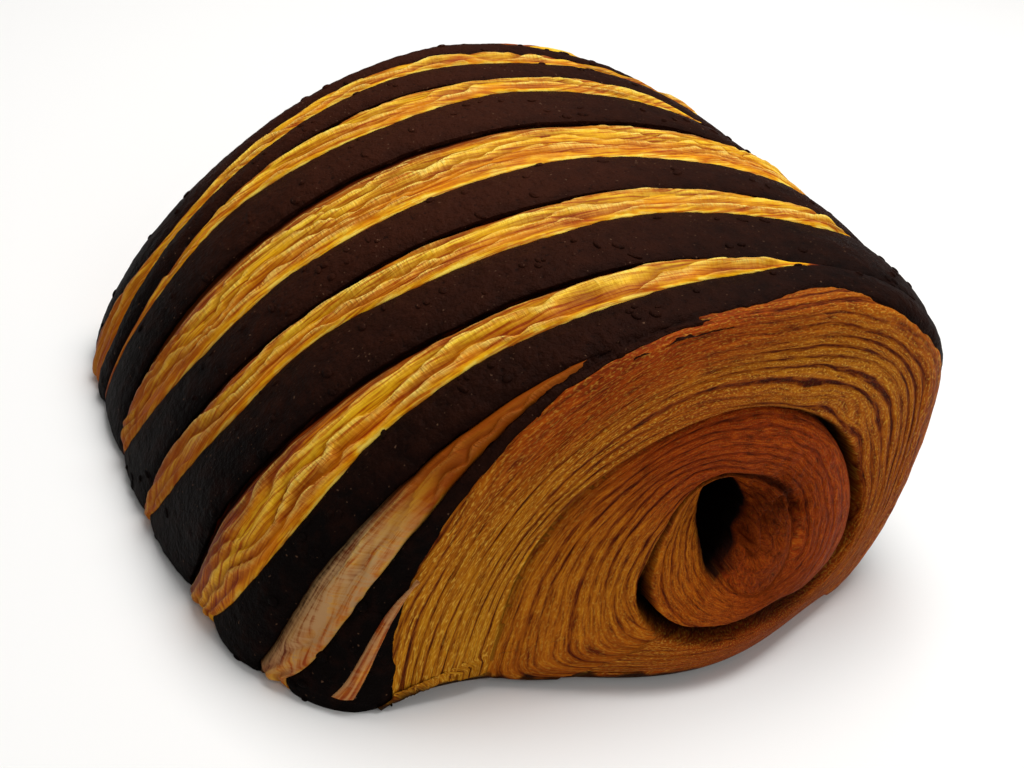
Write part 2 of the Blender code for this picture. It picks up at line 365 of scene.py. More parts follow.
    def normals(self, rows: Array) -> Array:
        """Which way the surface through a stack of loops faces.

        Args:
            rows: Points of shape (rows, columns, 3), each row a closed loop.

        Returns:
            The outward normal at each point.
        """
        along = np.gradient(rows, axis=0)
        around = np.roll(rows, -1, axis=1) - np.roll(rows, 1, axis=1)
        normal = np.cross(around, along)
        return normal / np.maximum(np.linalg.norm(normal, axis=-1, keepdims=True), 1e-12)

    def settled(self, points: Array) -> Array:
        """The points slumped as the baked roll has, and centred over the origin.

        Args:
            points: Points of the ideal form, of shape (any, 3).

        Returns:
            The moved points.
        """
        x, y, z = points.T
        low = 1 - ease(z, 0, self.low_height)
        droop = self.far_droop * ease(y, *self.droop_span)
        lift = self.right_lift * ease(x, *self.lift_span)
        inward = self.foot_tuck * bell(y, *self.foot_tuck_place) * low * (x < 0)
        inward = inward - self.right_tuck * ease(x, *self.tuck_span)
        forward = self.corner_reach * mound(x, y, self.corner_place, self.corner_spread)
        forward = forward + self.base_reach * mound(x, y, self.base_place, self.base_spread)
        moved = np.stack([x + inward, y - forward * low, z * (1 - droop + lift)], axis=-1)
        return moved + np.array([*self.centring, 0.0])


@dataclass(frozen=True)
class BandLayout:
    """Where each cocoa band's front and back edge runs over the roll, measured along it from its middle."""

    stations: tuple[float, ...] = (0.20, 0.25, 0.30, 0.35, 0.40, 0.45, 0.50, 0.55, 0.60, 0.65, 0.80)
    edges_mm: tuple = (
        (
            (-48.7, -48.5, -48.1, -48.0, -47.7, -47.9, -48.2, -48.9, -48.9, -48.9, -48.9),
            (-41.0, -44.6, -46.3, -46.7, -46.7, -47.2, -47.2, -45.0, -47.6, -48.4, -45.8),
        ), (
            (-37.8, -40.2, -41.8, -42.9, -44.9, -46.7, -47.0, -44.8, -47.4, -48.2, -45.6),
            (-28.5, -34.0, -36.3, -36.4, -37.3, -39.4, -39.6, -38.8, -41.0, -43.0, -42.2),
        ), (
            (-20.2, -23.3, -24.7, -26.6, -29.3, -31.7, -33.9, -38.3, -40.9, -42.9, -42.0),
            (-5.5, -10.2, -13.6, -14.4, -18.0, -20.6, -20.8, -24.2, -27.0, -26.6, -33.0),
        ), (
            (-3.0, -4.4, -5.6, -7.3, -9.3, -11.7, -12.9, -16.4, -20.2, -26.2, -32.8),
            (10.5, 6.5, 3.3, 2.2, 0.3, -1.0, -1.6, -5.2, -8.5, -8.8, -17.0),
        ), (
            (11.0, 14.5, 15.8, 16.0, 15.3, 13.6, 12.8, 10.3, 6.9, 3.0, -7.0),
            (25.5, 25.0, 25.3, 27.0, 25.5, 24.9, 26.1, 22.4, 17.0, 12.0, 1.0),
        ), (
            (25.8, 25.6, 27.4, 31.0, 32.7, 33.1, 31.5, 28.5, 20.2, 12.4, 1.6),
            (31.0, 30.5, 33.5, 36.1, 38.6, 39.8, 38.8, 36.4, 32.5, 27.0, 13.5),
        ), (
            (38.5, 38.0, 36.5, 39.4, 43.2, 44.0, 43.3, 40.0, 35.5, 31.0, 26.0),
            (46.0, 46.5, 47.0, 47.5, 48.2, 48.5, 48.0, 45.5, 42.5, 41.0, 34.5),
        ),
    )
    wander: float = 0.20 * MM
    wander_length_mm: float = 5.0
    nibble: float = 0.08 * MM
    nibble_length_mm: float = 1.3
    seed_steps: Pair = (5.1, 2.3)
    least_gap: float = 0.03 * MM
    end_crust_start: float = 0.475

    def edges(self, form: RollForm) -> Array:
        """The edges of all bands, which wander a little and never cross.

        Args:
            form: The roll that the bands lie on.

        Returns:
            Lengths in metres, of shape (bands, front and back, stations).
        """
        t, arc = form.stations(), form.arc()
        found = np.empty((len(self.edges_mm), 2, len(t)))
        last = np.full_like(t, -form.rim_reach)
        for index, band in enumerate(self.edges_mm):
            for side in (0, 1):
                edge = smooth_curve(t, self.stations, band[side]) * MM
                seed = self.seed_steps[0] * index + self.seed_steps[1] * side
                uneven = self.wander * grain(arc / self.wander_length_mm, 0.5, seed)
                uneven = uneven + self.nibble * grain(arc / self.nibble_length_mm, 0.5, seed + 1)
                edge = np.clip(edge + uneven, last + self.least_gap * (index + side > 0), form.rim_reach)
                found[index, side] = edge
                last = edge
        return found

    def cover(self, form: RollForm, side: Side) -> Array:
        """Where the outermost band starts to cover the dough of one end.

        Args:
            form: The roll that the bands lie on.
            side: Which end it is.

        Returns:
            A length in metres at each of the form's stations.
        """
        edges = self.edges(form)
        if side is Side.FAR:
            return edges[-1][1]
        return np.where(form.stations() < self.end_crust_start, edges[0][0], edges[1][0])


@dataclass(frozen=True)
class GapCrust:
    """The swell of laminated dough between two cocoa bands, from a lip to the slope before the next band.

    Its torn sheets lie over each other like shingles. Spans are shares across the gap, or widths of gap.
    """

    row_count: int = 26
    row_crowding: float = 0.06
    profile: tuple = (
        (0, -0.10), (0.06, 0.20), (0.28, 0.25), (0.56, 0.75), (0.66, 0.66), (0.82, -0.05), (1, -1.10),
    )
    full_width: float = 6 * MM
    ridge_swing: tuple = ((0.07, 11.0, 3.0), (0.03, 3.0, 4.0))
    pleat_width_mm: float = 2.1
    pleat_height: float = 0.72 * MM
    pleat_level: float = 0.4
    pleat_sway: tuple = ((0.75, 9.0, 5.0, 31.0), (0.30, 2.8, 3.0, 33.0))
    pleat_strength: Pair = (0.62, 0.55)
    pleat_stretch_mm: float = 6.5
    pleat_seed: float = 36.0
    pleat_spans: tuple = ((0.03, 0.16), (0.70, 0.92))
    pleat_gaps: Pair = (0.6 * MM, 3 * MM)
    sheet_spans: tuple = ((-0.1, 0.72), (0.76, 1.0))
    crinkle_pattern: Triple = (1.3, 0.9, 8.0)
    crinkle_height: float = 0.05 * MM
    crinkle_spans: tuple = ((0.04, 0.2), (0.75, 0.95))
    crinkle_gaps: Pair = (0.4 * MM, 3 * MM)

    def shares(self) -> Array:
        """Places of the mesh rows across a gap, closer together at both of its edges."""
        even = np.linspace(0, 1, self.row_count + 1)
        return even - self.row_crowding * np.sin(2 * math.pi * even)

    def pleats(self, share: Array, gap: Array, arc: Array, index: int) -> tuple[Array, Array]:
        """The torn sheets along a gap.

        Args:
            share: Place across the gap, 0 at the nearer band and 1 at the farther one.
            gap: The gap's width in metres.
            arc: Millimetres along the section.
            index: Which gap this is.

        Returns:
            The number of sheets passed on the way across the gap, and how strongly each stands out.
        """
        mm_across = share * gap / MM
        sway = sum(
            reach * grain(arc / length, mm_across / width, seed + index)
            for reach, length, width, seed in self.pleat_sway
        )
        passed = mm_across / self.pleat_width_mm + sway
        usual, varying = self.pleat_strength
        sheet = np.floor(passed) * LAYER_STRIDE
        strength = usual + varying * grain(arc / self.pleat_stretch_mm, sheet, self.pleat_seed + index)
        inside = between(share, *self.pleat_spans) * ease(gap, *self.pleat_gaps)
        return passed, np.clip(strength, 0, 1) * inside

    def relief(self, share: Array, gap: Array, arc: Array, index: int) -> Array:
        """The height of the crust over the smooth barrel.

        Args:
            share: Place across the gap, 0 at the nearer band and 1 at the farther one.
            gap: The gap's width in metres.
            arc: Millimetres along the section.
            index: Which gap this is.

        Returns:
            The height in metres.
        """
        swing = sum(reach * grain(arc / size, 0.5, seed + index) for reach, size, seed in self.ridge_swing)
        base = through(share + swing * np.sin(math.pi * share), self.profile) * MM
        passed, strength = self.pleats(share, gap, arc, index)
        place = passed - np.floor(passed)
        pleat = self.pleat_height * (between(place, *self.sheet_spans) - self.pleat_level) * strength
        length, width, seed = self.crinkle_pattern
        crinkle = rough_grain(arc / length, share * gap / MM / width, seed + index, 2)
        inside = between(share, *self.crinkle_spans) * ease(gap, *self.crinkle_gaps)
        return base * ease(gap, 0, self.full_width) + pleat + self.crinkle_height * crinkle * inside


@dataclass(frozen=True)
class SpiralEnd:
    """One end of the roll, where the turns of laminated dough show as a spiral round a hollow core.

    Creases between turns are read from one unwound curve, whose angle falls by 360 degrees a turn.
    Its dough folds over the rim as a sleeve, which the outermost cocoa band covers in part.
    The rings are those of the outer turn, the inner turns, the core and the hole.
    A place is an angle or a point with its spread, and a span a pair of limits.
    """

    side: Side
    columns: tuple[int, int]
    rings: tuple[int, int, int, int]
    centre: Pair = (14 * MM, 17 * MM)
    first_angle: float = -149.0
    crease_mm: tuple = (
        (-1280, 0.3), (-1100, 1.6), (-980, 3.2), (-905, 4.6), (-840, 5.8), (-760, 6.6), (-712, 7.1),
        (-680, 7.8), (-644, 8.2), (-618, 9.5),
        (-596, 11.8), (-580, 13.1), (-563, 13.8), (-546, 15.1), (-533, 16.1), (-522, 16.3), (-510, 15.1),
        (-496, 12.6), (-478, 10.4), (-450, 8.8), (-430, 9.3), (-415, 10.7), (-407, 12.2), (-399, 14.4),
        (-390, 17.2), (-381, 19.5), (-372, 20.5), (-362, 20.4), (-348, 19.4), (-330, 18.4), (-309, 17.5),
        (-290, 17.3), (-258, 18.6), (-229, 21.5), (-209, 25.3), (-194, 28.9), (-180, 32.0), (-168, 34.7),
        (-160, 37.2), (-156, 38.4), (-153, 37.4), (-149, 33.0),
    )
    crease_depth_mm: tuple = (
        (-905, 0.0), (-760, 0.0), (-712, 0.2), (-644, 1.0), (-618, 1.6), (-596, 2.4), (-563, 1.8), (-546, 1.4),
        (-533, 2.4), (-522, 4.6), (-510, 6.4), (-496, 7.0), (-478, 6.4), (-450, 5.2), (-415, 4.8), (-399, 5.2),
        (-390, 5.6), (-381, 7.2), (-372, 8.0), (-362, 8.2), (-348, 7.6), (-330, 5.0), (-315, 2.6), (-300, 1.4),
        (-258, 0.9), (-229, 0.6), (-194, 0.6), (-176, 0.5), (-166, 0.25), (-158, 0.0), (-149, 0.0),
    )
    crease_width_mm: tuple = (
        (-905, 0.3), (-618, 0.4), (-546, 0.4), (-522, 0.65), (-500, 0.85), (-478, 0.85), (-450, 0.8),
        (-415, 1.2), (-390, 1.0), (-378, 0.8), (-362, 0.7), (-348, 0.6), (-330, 0.5), (-315, 0.4),
        (-290, 0.3), (-200, 0.3), (-176, 0.45), (-149, 0.5),
    )
    outer_loop_mm: tuple = (
        (-156, 38.0), (-145, 27.0), (-130, 19.4), (-110, 15.0), (-90, 13.3), (-70, 13.6), (-50, 15.8),
        (-35, 18.0), (-21, 19.8), (-12, 20.5), (-2, 20.4), (12, 19.4), (30, 18.4), (51, 17.5), (70, 17.3),
        (102, 18.6), (131, 21.5), (151, 25.3), (166, 28.9), (180, 32.0), (192, 34.7), (200, 37.2), (204, 38.0),
    )
    inner_loop_mm: tuple = (
        (-150, 15.1), (-136, 12.6), (-118, 10.4), (-90, 8.8), (-70, 9.2), (-55, 10.0), (-40, 10.6), (-20, 10.3),
        (0, 9.2), (20, 8.3), (40, 7.8), (76, 8.2), (102, 9.5), (124, 11.8), (140, 13.1), (157, 13.8),
        (174, 15.1), (187, 16.1), (198, 16.3), (210, 15.1),
    )
    hole_centre: Pair = (10.6 * MM, 20.9 * MM)
    hole_half_width: float = 3.2 * MM
    hole_top_narrowing: float = 0.2 * MM
    hole_foot_narrowing: float = 1.8 * MM
    hole_foot_power: float = 1.4
    hole_reach: Pair = (4.0 * MM, 7.0 * MM)
    hole_lean: float = 2.2 * MM
    hole_floor_share: float = 0.9
    hole_crowding: float = 1.6
    hole_depth: float = 15 * MM
    hole_span: Pair = (0.98, 1.12)
    foot_angle: float = 180.0
    foot_bend: float = 40.0
    outer_turn_share: float = 0.28
    outer_turn_place: Pair = (-5.0, 45.0)
    core_turn_share: float = 0.8
    least_width: float = 0.5 * MM
    crease_widening: Pair = (1.6, 0.8)
    crease_sharpness: float = 2.5
    crease_dark: Pair = (0.2, 0.3)
    dark_crease_mm: float = 0.4
    crease_dark_width: float = 1.35
    crease_dark_sharpness: float = 4.0
    folds: tuple = (
        (-1280, 1.0), (-905, 3.0), (-720, 4.0), (-630, 5.0), (-540, 8.0), (-450, 7.0), (-360, 8.0), (-270, 9.0),
        (-200, 11.0), (-149, 10.0), (-60, 8.0), (90, 8.0), (211, 9.0),
    )
    fold_strengths: tuple = (
        (-905, 0.3), (-720, 0.35), (-630, 0.5), (-540, 0.75), (-500, 0.45), (-450, 0.3), (-360, 0.45),
        (-270, 0.5), (-215, 0.75), (-170, 0.75), (-149, 0.55), (-110, 0.2), (-70, 0.08), (-20, 0.25),
        (15, 0.8), (60, 0.95), (120, 0.6), (170, 0.7), (211, 0.8),
    )
    reds: tuple = (
        (-1280, 1.0), (-650, 1.0), (-620, 0.9), (-560, 0.7), (-530, 0.7), (-500, 0.85), (-450, 1.0),
        (-360, 1.0), (-270, 1.0), (-215, 0.95), (-175, 0.55), (-149, 0.7), (-110, 0.95), (-30, 0.95),
        (10, 0.9), (60, 0.8), (110, 0.8), (150, 0.5), (180, 0.1), (211, 0.0),
    )
    golds: tuple = (
        (-905, 0.0), (-620, 0.0), (-550, 0.3), (-510, 0.1), (-450, 0.0), (-215, 0.1), (-175, 0.45), (-140, 0.1),
        (-90, 0.0), (20, 0.25), (75, 0.4), (120, 0.1), (165, 0.55), (185, 0.95), (211, 1.0),
    )
    pattern_radius_mm: float = 20.0
    seeds: Pair = (40.0, 7.0)
    fold_depth_share: float = 0.18
    deepest_fold: float = 0.42 * MM
    fold_sway: tuple = ((0.62, 15.0, 2.2), (0.24, 5.0, 6.0))
    sway_spans: tuple = ((0.0, 0.12), (0.86, 1.0))
    fold_evenness: Pair = (0.62, 0.50)
    fold_stretch_mm: float = 14.0
    least_fold: float = 0.12
    fold_sharpness: float = 1.2
    fold_edges: tuple = ((0.0, 0.07), (0.93, 1.0))
    smooth_rim: float = 0.7
    smooth_rim_place: Pair = (130.0, 45.0)
    smooth_rim_span: Pair = (0.15, 0.55)
    second_line_depth: float = 0.07 * MM
    second_line_pitch: float = 2.3
    second_line_sway: float = 0.7
    crumple_depth: float = 0.09 * MM
    crumple_size_mm: float = 2.0
    crumple_rows: float = 1.3
    crumple_span: Pair = (0.0, 0.1)
    turn_swell: float = 0.9 * MM
    swell_power: float = 0.8
    swell_rings: int = 4
    torn_place: tuple = ((17.6 * MM, 21.0 * MM), (5.0 * MM, 4.4 * MM))
    torn_depth: float = 0.9 * MM
    torn_size: float = 1.5 * MM
    torn_level: float = 1.1
    pit_places: tuple = (
        ((21.5 * MM, 20.0 * MM), (1.0 * MM, 0.8 * MM)),
        ((18.6 * MM, 21.9 * MM), (1.1 * MM, 0.7 * MM)),
    )
    pit_depth: float = 1.6 * MM
    crumb_place: tuple = ((15.5 * MM, 14.6 * MM), (1.6 * MM, 0.8 * MM))
    crumb_height: float = 0.7 * MM
    ledge_spans: tuple = ((55.0, 95.0), (150.0, 185.0))
    ledge_drop: float = 1.6 * MM
    ledge_slope: float = 0.8 * MM
    step_place: Pair = (75.0, 50.0)
    step_drop: float = 1.1 * MM
    step_slope: float = 2.2 * MM
    lip_place: Pair = (85.0, 48.0)
    lip_width: float = 0.5 * MM
    lip_height: float = 0.35 * MM
    lip_redness: float = 0.3
    funnel_depths: Pair = (2.8 * MM, 1.4 * MM)
    funnel_span: Pair = (70.0, 120.0)
    funnel_power: float = 1.3
    blush: float = 0.75
    blush_place: Pair = (128.0, 45.0)
    blush_span: Pair = (0.05, 0.45)
    glow: float = 0.25
    glow_place: Pair = (75.0, 50.0)
    glow_share: Pair = (0.4, 0.3)
    # Painted shade down the hole and in the pits, and a darker torn patch.
    core_shade_span: Pair = (0.78, 1.0)
    torn_shade: float = 0.62
    pit_shade: float = 0.75
    crumb_light: float = 0.6
    dim_places: tuple = ((0.25, -60.0, 45.0), (0.22, -415.0, 45.0), (0.28, -760.0, 90.0))
    bare_sleeve: float = 7.2 * MM
    bare_retreat: float = 4.6 * MM
    retreat_height: Pair = (13 * MM, 13 * MM)
    retreat_span: Pair = (5 * MM, 18 * MM)
    bare_unevenness: float = 0.08
    bare_stretch_mm: float = 3.0
    bare_edge: Pair = (-0.4 * MM, 0.1 * MM)
    scorch: float = 0.92
    scorch_height: Pair = (1.9 * MM, 1.0 * MM)
    scorch_size: float = 1.6 * MM
    scorch_edge: float = 0.4 * MM
    scorch_span: Pair = (0.0, 25 * MM)
    speckle: Triple = (1.6, 1.15, 0.6)
    sleeve_reach: float = 5.6 * MM
    sleeve_rings: int = 6
    rounding_rings: int = 8
    sleeve_height: float = 0.22 * MM
    sleeve_rise: float = 2 * MM
    sleeve_sink: float = 1.0 * MM
    cover_edge: Pair = (-0.2 * MM, 0.9 * MM)
    plug_reach: float = 30 * MM
    plug_scale: float = 0.76

    def seed(self) -> float:
        """Picks this end's patterns."""
        return self.seeds[0] + self.seeds[1] * self.side.value

    def loop(self, knots: tuple, angle: Array) -> Array:
        """The points of a guide loop round the spiral's centre.

        Args:
            knots: The loop's radius in millimetres at some degrees.
            angle: Where to read it, in radians.

        Returns:
            X and Z of each point.
        """
        first = knots[0][0]
        degrees = first + np.mod(np.degrees(angle) - first, 360)
        radius = through(degrees, knots) * MM
        x = self.centre[0] + radius * np.cos(angle)
        z = self.centre[1] + radius * np.sin(angle)
        return np.stack([x, z], axis=-1)

    def hole_outline(self, angle: Array) -> Array:
        """The tear-shaped mouth of the hollow core, wide at its top and narrow at its foot.

        Args:
            angle: Where to read it, in radians round the hole's middle.

        Returns:
            X and Z of each point.
        """
        up = np.sin(angle)
        foot = self.hole_foot_narrowing * np.maximum(-up, 0) ** self.hole_foot_power
        half_width = self.hole_half_width - np.where(up > 0, self.hole_top_narrowing * up**2, foot)
        x = self.hole_centre[0] + half_width * np.cos(angle) + self.hole_lean * np.minimum(up, 0)
        z = self.hole_centre[1] + up * np.where(up > 0, *self.hole_reach)
        return np.stack([x, z], axis=-1)

    def sleeve(self, form: RollForm) -> tuple[Array, Array]:
        """The rings that fold over the rim onto the barrel.

        Args:
            form: The roll, with this end's own columns.

        Returns:
            Each ring's place along the roll, and its distance behind the rim over the surface.
        """
        turned = np.linspace(0, math.pi / 2, self.rounding_rings + 1)
        rounded = form.rim_reach - form.rim_rounding * (1 - np.sin(turned))
        straight = np.linspace(form.rim_reach - self.sleeve_reach, rounded[0], self.sleeve_rings + 1)[:-1]
        behind = np.concatenate([
            rounded[0] - straight + form.rim_rounding * math.pi / 2,
            form.rim_rounding * (math.pi / 2 - turned),
        ])
        return self.side.value * np.concatenate([straight, rounded]), behind

    def plan(self, rim: Array) -> tuple[Array, Array]:
        """Rings in the plane of the end, from the rim to the bottom of the hole.

        Args:
            rim: The rim's points, of shape (columns, 3).

        Returns:
            X and Z of the rings, of shape (rings, columns, 2), and each ring's way into the core.
        """
        edge = rim[:, [0, 2]]
        angle = np.arctan2(edge[:, 1] - self.centre[1], edge[:, 0] - self.centre[0])
        outer = self.loop(self.outer_loop_mm, angle)
        inner = self.loop(self.inner_loop_mm, angle)
        to_hole = inner - np.array(self.hole_centre)
        hole = self.hole_outline(np.arctan2(to_hole[:, 1], to_hole[:, 0]))
        middle = np.array(self.hole_centre)
        shares = [np.linspace(0, 1, count + 1)[1:] for count in self.rings]
        shares[3] = (shares[3] * self.hole_floor_share) ** self.hole_crowding
        rings, core = [edge], [0.0]
        stretches = ((edge, outer, 0, 0), (outer, inner, 0, 0), (inner, hole, 0, 1), (hole, middle, 1, 1))
        for (start, finish, base, gain), passed in zip(stretches, shares):
            rings.extend(start + (finish - start) * share for share in passed)
            core.extend(base + gain * passed)
        return np.array(rings), np.array(core)

    def turns(self, x: Array, z: Array, rim_radius: Array) -> Values:
        """Which turn of the spiral each point lies on, and where across it.

        Args:
            x: Places across the roll.
            z: Places up the roll.
            rim_radius: The rim's distance from the spiral's centre, along each point's ray.

        Returns:
            The turn, the share across it, the unwound angle, the turn's width and what its creases do.
        """
        across, up = x - self.centre[0], z - self.centre[1]
        degrees = self.first_angle + np.mod(np.degrees(np.arctan2(up, across)) - self.first_angle, 360)
        radius = np.hypot(across, up)
        inset = rim_radius - radius
        # The outer turn runs on into the ground at its left foot, so its folds end there.
        past_foot = np.radians(np.clip(degrees - self.foot_angle, 0, self.foot_bend))
        left_reach = rim_radius[0, np.argmin(np.abs(degrees[0] - self.foot_angle))]
        rim_radius = np.maximum(rim_radius, left_reach / np.cos(past_foot) * (degrees > self.foot_angle))
        rims = [rim_radius] + [through(degrees - 360 * turn, self.crease_mm) * MM for turn in (1, 2, 3, 4)]
        narrowed = rim_radius * (1 - self.outer_turn_share * bell(degrees, *self.outer_turn_place))
        rims[1] = np.minimum(rims[1], narrowed)
        rims[2] = np.minimum(rims[2], self.core_turn_share * rims[1])
        turn = sum((radius <= rim).astype(float) for rim in rims[1:4])
        passed = [turn == number for number in range(4)]
        outside, inside = np.select(passed, rims[:4]), np.select(passed, rims[1:])
        width = np.maximum(outside - inside, self.least_width)
        depth, shade = np.zeros_like(radius), np.zeros_like(radius)
        for number in (1, 2):
            crease = rims[number]
            deep = through(degrees - 360 * number, self.crease_depth_mm)
            wide = through(degrees - 360 * number, self.crease_width_mm) * MM
            wide = wide * np.where(radius > crease, *self.crease_widening)
            away = np.abs((radius - crease) / wide)
            depth = depth + deep * MM * np.exp(-(away**self.crease_sharpness))
            # Painted shade in the crease, darker the deeper it is.
            dark = np.exp(-((away / self.crease_dark_width) ** self.crease_dark_sharpness))
            least, deeper = self.crease_dark
            dark = dark * np.clip(least + deeper * deep, 0, 1) * ease(deep, 0, self.dark_crease_mm)
            shade = np.maximum(shade, dark)
        return {
            "degrees": degrees, "turn": turn, "share": np.clip((outside - radius) / width, 0, 1),
            "unwound": degrees - 360 * turn, "width": width, "inset": inset,
            "inward": rims[2] - radius, "below_first": rims[1] - radius, "depth": depth, "shade": shade,
        }

    def fold_strength(self, unwound: Array, turn: Array, share: Array) -> Array:
        """How strongly the edges of the laminated layers stand out, which is least at the right foot.

        Args:
            unwound: Degrees along the spiral.
            turn: Which turn each point lies on.
            share: Where it lies across that turn.

        Returns:
            The strength, from 0 to 1.
        """
        start, finish = self.fold_edges
        edge = np.where(turn > 0, ease(share, *start), 1.0) * (1 - 0.5 * ease(share, *finish))
        smooth = self.smooth_rim * bell(unwound, *self.smooth_rim_place)
        smooth = smooth * (1 - ease(share, *self.smooth_rim_span))
        return through(unwound, self.fold_strengths) * edge * (1 - smooth)

    def over_sleeve(self, found: Values, behind: Array) -> Values:
        """Carries what is known of the rim back over the sleeve.

        Args:
            found: Values of the face's rings, of which the first is the rim.
            behind: How far behind the rim each ring of the sleeve lies.

        Returns:
            The values of the sleeve's and the face's rings.
        """
        count = len(behind)
        wider = {name: np.concatenate([np.repeat(v[:1], count, axis=0), v]) for name, v in found.items()}
        wider["share"][:count] = -behind[:, None] / wider["width"][:count]
        wider["inset"][:count] = -behind[:, None]
        return wider

    def layers(self, found: Values) -> Values:
        """The edges of the laminated layers, which show as fine folds along the spiral.

        Args:
            found: Where each point lies in the spiral.

        Returns:
            The length along the spiral, the layers passed, their strength and evenness, and their relief.
        """
        unwound, turn, share = found["unwound"], found["turn"], found["share"]
        along = -np.radians(unwound) * self.pattern_radius_mm
        start, finish = self.sway_spans
        held = np.where(turn > 0, ease(share, *start), 1) * (1 - ease(share, *finish))
        sway = sum(
            reach * grain(along / length, share * across, self.seed() + step)
            for step, (reach, length, across) in enumerate(self.fold_sway)
        )
        count = through(unwound, self.folds)
        phase = count * share + sway * held
        usual, varying = self.fold_evenness
        even = grain(along / self.fold_stretch_mm, np.round(phase) * LAYER_STRIDE, self.seed() + 2)
        even = np.clip(usual + varying * even, self.least_fold, 1)
        valley = (0.5 + 0.5 * np.cos(2 * math.pi * phase)) ** self.fold_sharpness * even
        strength = self.fold_strength(unwound, turn, share)
        fold = np.minimum(self.fold_depth_share * found["width"] / count, self.deepest_fold)
        second = np.sin(2 * math.pi * (phase * self.second_line_pitch + self.second_line_sway * sway))
        crumple = rough_grain(along / self.crumple_size_mm, phase * self.crumple_rows, self.seed() + 3)
        crumple = self.crumple_depth * crumple * np.where(turn == 0, 1, ease(share, *self.crumple_span))
        return {
            "along": along, "phase": phase, "strength": strength, "even": even,
            "relief": (fold * valley + self.second_line_depth * second) * strength - crumple,
        }

    def depths(self, found: Values) -> Values:
        """How far each point lies behind the smooth end.

        Args:
            found: Where each point lies in the spiral, and its layers.

        Returns:
            The sunk depth, the swell of the turns, and the marks that the finish shades.
        """
        x, z, core = found["x"], found["z"], found["core"]
        degrees, turn, share = found["degrees"], found["turn"], found["share"]
        torn = mound(x, z, *self.torn_place) * (turn > 0)
        rough = self.torn_level - rough_grain(x / self.torn_size, z / self.torn_size, self.seed() + 4)
        pits = sum(mound(x, z, *place) for place in self.pit_places)
        crumb = mound(x, z, *self.crumb_place)
        ledge = np.where(turn > 1, 1 - np.exp(-found["inward"] / self.ledge_slope), 0)
        ledge = ledge * between(degrees, *self.ledge_spans)
        step = bell(degrees, *self.step_place) * (turn == 1)
        step = step * np.exp(-np.abs(found["below_first"]) / self.step_slope)
        lip = bell(degrees, *self.lip_place) * (turn == 0)
        lip = lip * np.exp(-(((1 - share) * found["width"] / self.lip_width) ** 2))
        funnel = self.funnel_depths[0] + self.funnel_depths[1] * ease(degrees, *self.funnel_span)
        swell = self.turn_swell * np.sin(math.pi * np.clip(share, 0, 1)) ** self.swell_power
        sunk = (
            found["depth"] + found["relief"] + self.ledge_drop * ledge + self.step_drop * step
            + funnel * np.minimum(core, 1) ** self.funnel_power + self.hole_depth * ease(core, *self.hole_span)
            + self.torn_depth * torn * rough + self.pit_depth * pits - self.crumb_height * crumb
            - swell * (core < 1) - self.lip_height * lip
        )
        return {"sunk": sunk, "swell": swell, "torn": torn, "pits": pits, "crumb": crumb, "lip": lip}

    def shading(self, found: Values) -> Array:
        """How dark each point is: painted shade in the creases, the hole and the pits, a darker torn patch and
        darker places along the spiral, the scorched foot and the covered sleeve.

        Args:
            found: Where each point lies in the spiral, and its marks.

        Returns:
            The shade, from 0 to 1.
        """
        x, z, unwound = found["x"], found["z"], found["unwound"]
        # Painted shade: the creases' shade, and black down the hollow core.
        shade = np.maximum(found["shade"], ease(found["core"], *self.core_shade_span) ** 2)
        shade = np.clip(shade + self.torn_shade * found["torn"], 0, 1)
        # Painted shade in the pits.
        shade = np.maximum(shade, self.pit_shade * found["pits"])
        for dimming, place, spread in self.dim_places:
            shade = np.maximum(shade, dimming * bell(unwound, place, spread))
        retreat = bell(z, *self.retreat_height) * ease(-x, *self.retreat_span)
        uneven = 1 + self.bare_unevenness * grain(found["along"] / self.bare_stretch_mm, 0.0, self.seed() + 6)
        bare = (self.bare_sleeve - self.bare_retreat * retreat) * uneven
        shade = np.maximum(shade, ease(-found["inset"], bare + self.bare_edge[0], bare + self.bare_edge[1]))
        usual, varying = self.scorch_height
        scorched = usual + varying * grain(x / self.scorch_size, 0.5, self.seed() + 8)
        scorched = scorched * (1 - ease(x, *self.scorch_span))
        black = 1 - ease(z, scorched - self.scorch_edge, scorched + self.scorch_edge)
        shade = np.maximum(shade, self.scorch * black * (scorched > 0))
        return shade * (1 - self.crumb_light * found["crumb"])

    def finish_values(self, found: Values) -> Values:
        """What the finish of the cut dough reads.

        Args:
            found: Where each point lies in the spiral, its layers and its marks.

        Returns:
            The mesh's attributes by name.
        """
        unwound, share, phase = found["unwound"], found["share"], found["phase"]
        blush = self.blush * bell(unwound, *self.blush_place) * (1 - ease(share, *self.blush_span))
        glow = self.glow * bell(unwound, *self.glow_place) * bell(share, *self.glow_share)
        red = np.clip(through(unwound, self.reds) + blush - glow + self.lip_redness * found["lip"], 0, 1)
        most, by_red, by_turn = self.speckle
        return {
            "spiral_coords": np.stack([found["along"], phase * 2, np.full_like(phase, self.seed())], axis=-1),
            "fold_phase": phase,
            "fold_strength": found["strength"] * found["even"],
            "shade": self.shading(found),
            "redness": red,
            "lip": found["lip"],
            "goldness": np.clip(through(unwound, self.golds) * (1 - blush) + glow, 0, 1),
            "speckle": np.clip(most - by_red * red, 0, 1) * (1 - by_turn * (found["turn"] > 0)),
        }

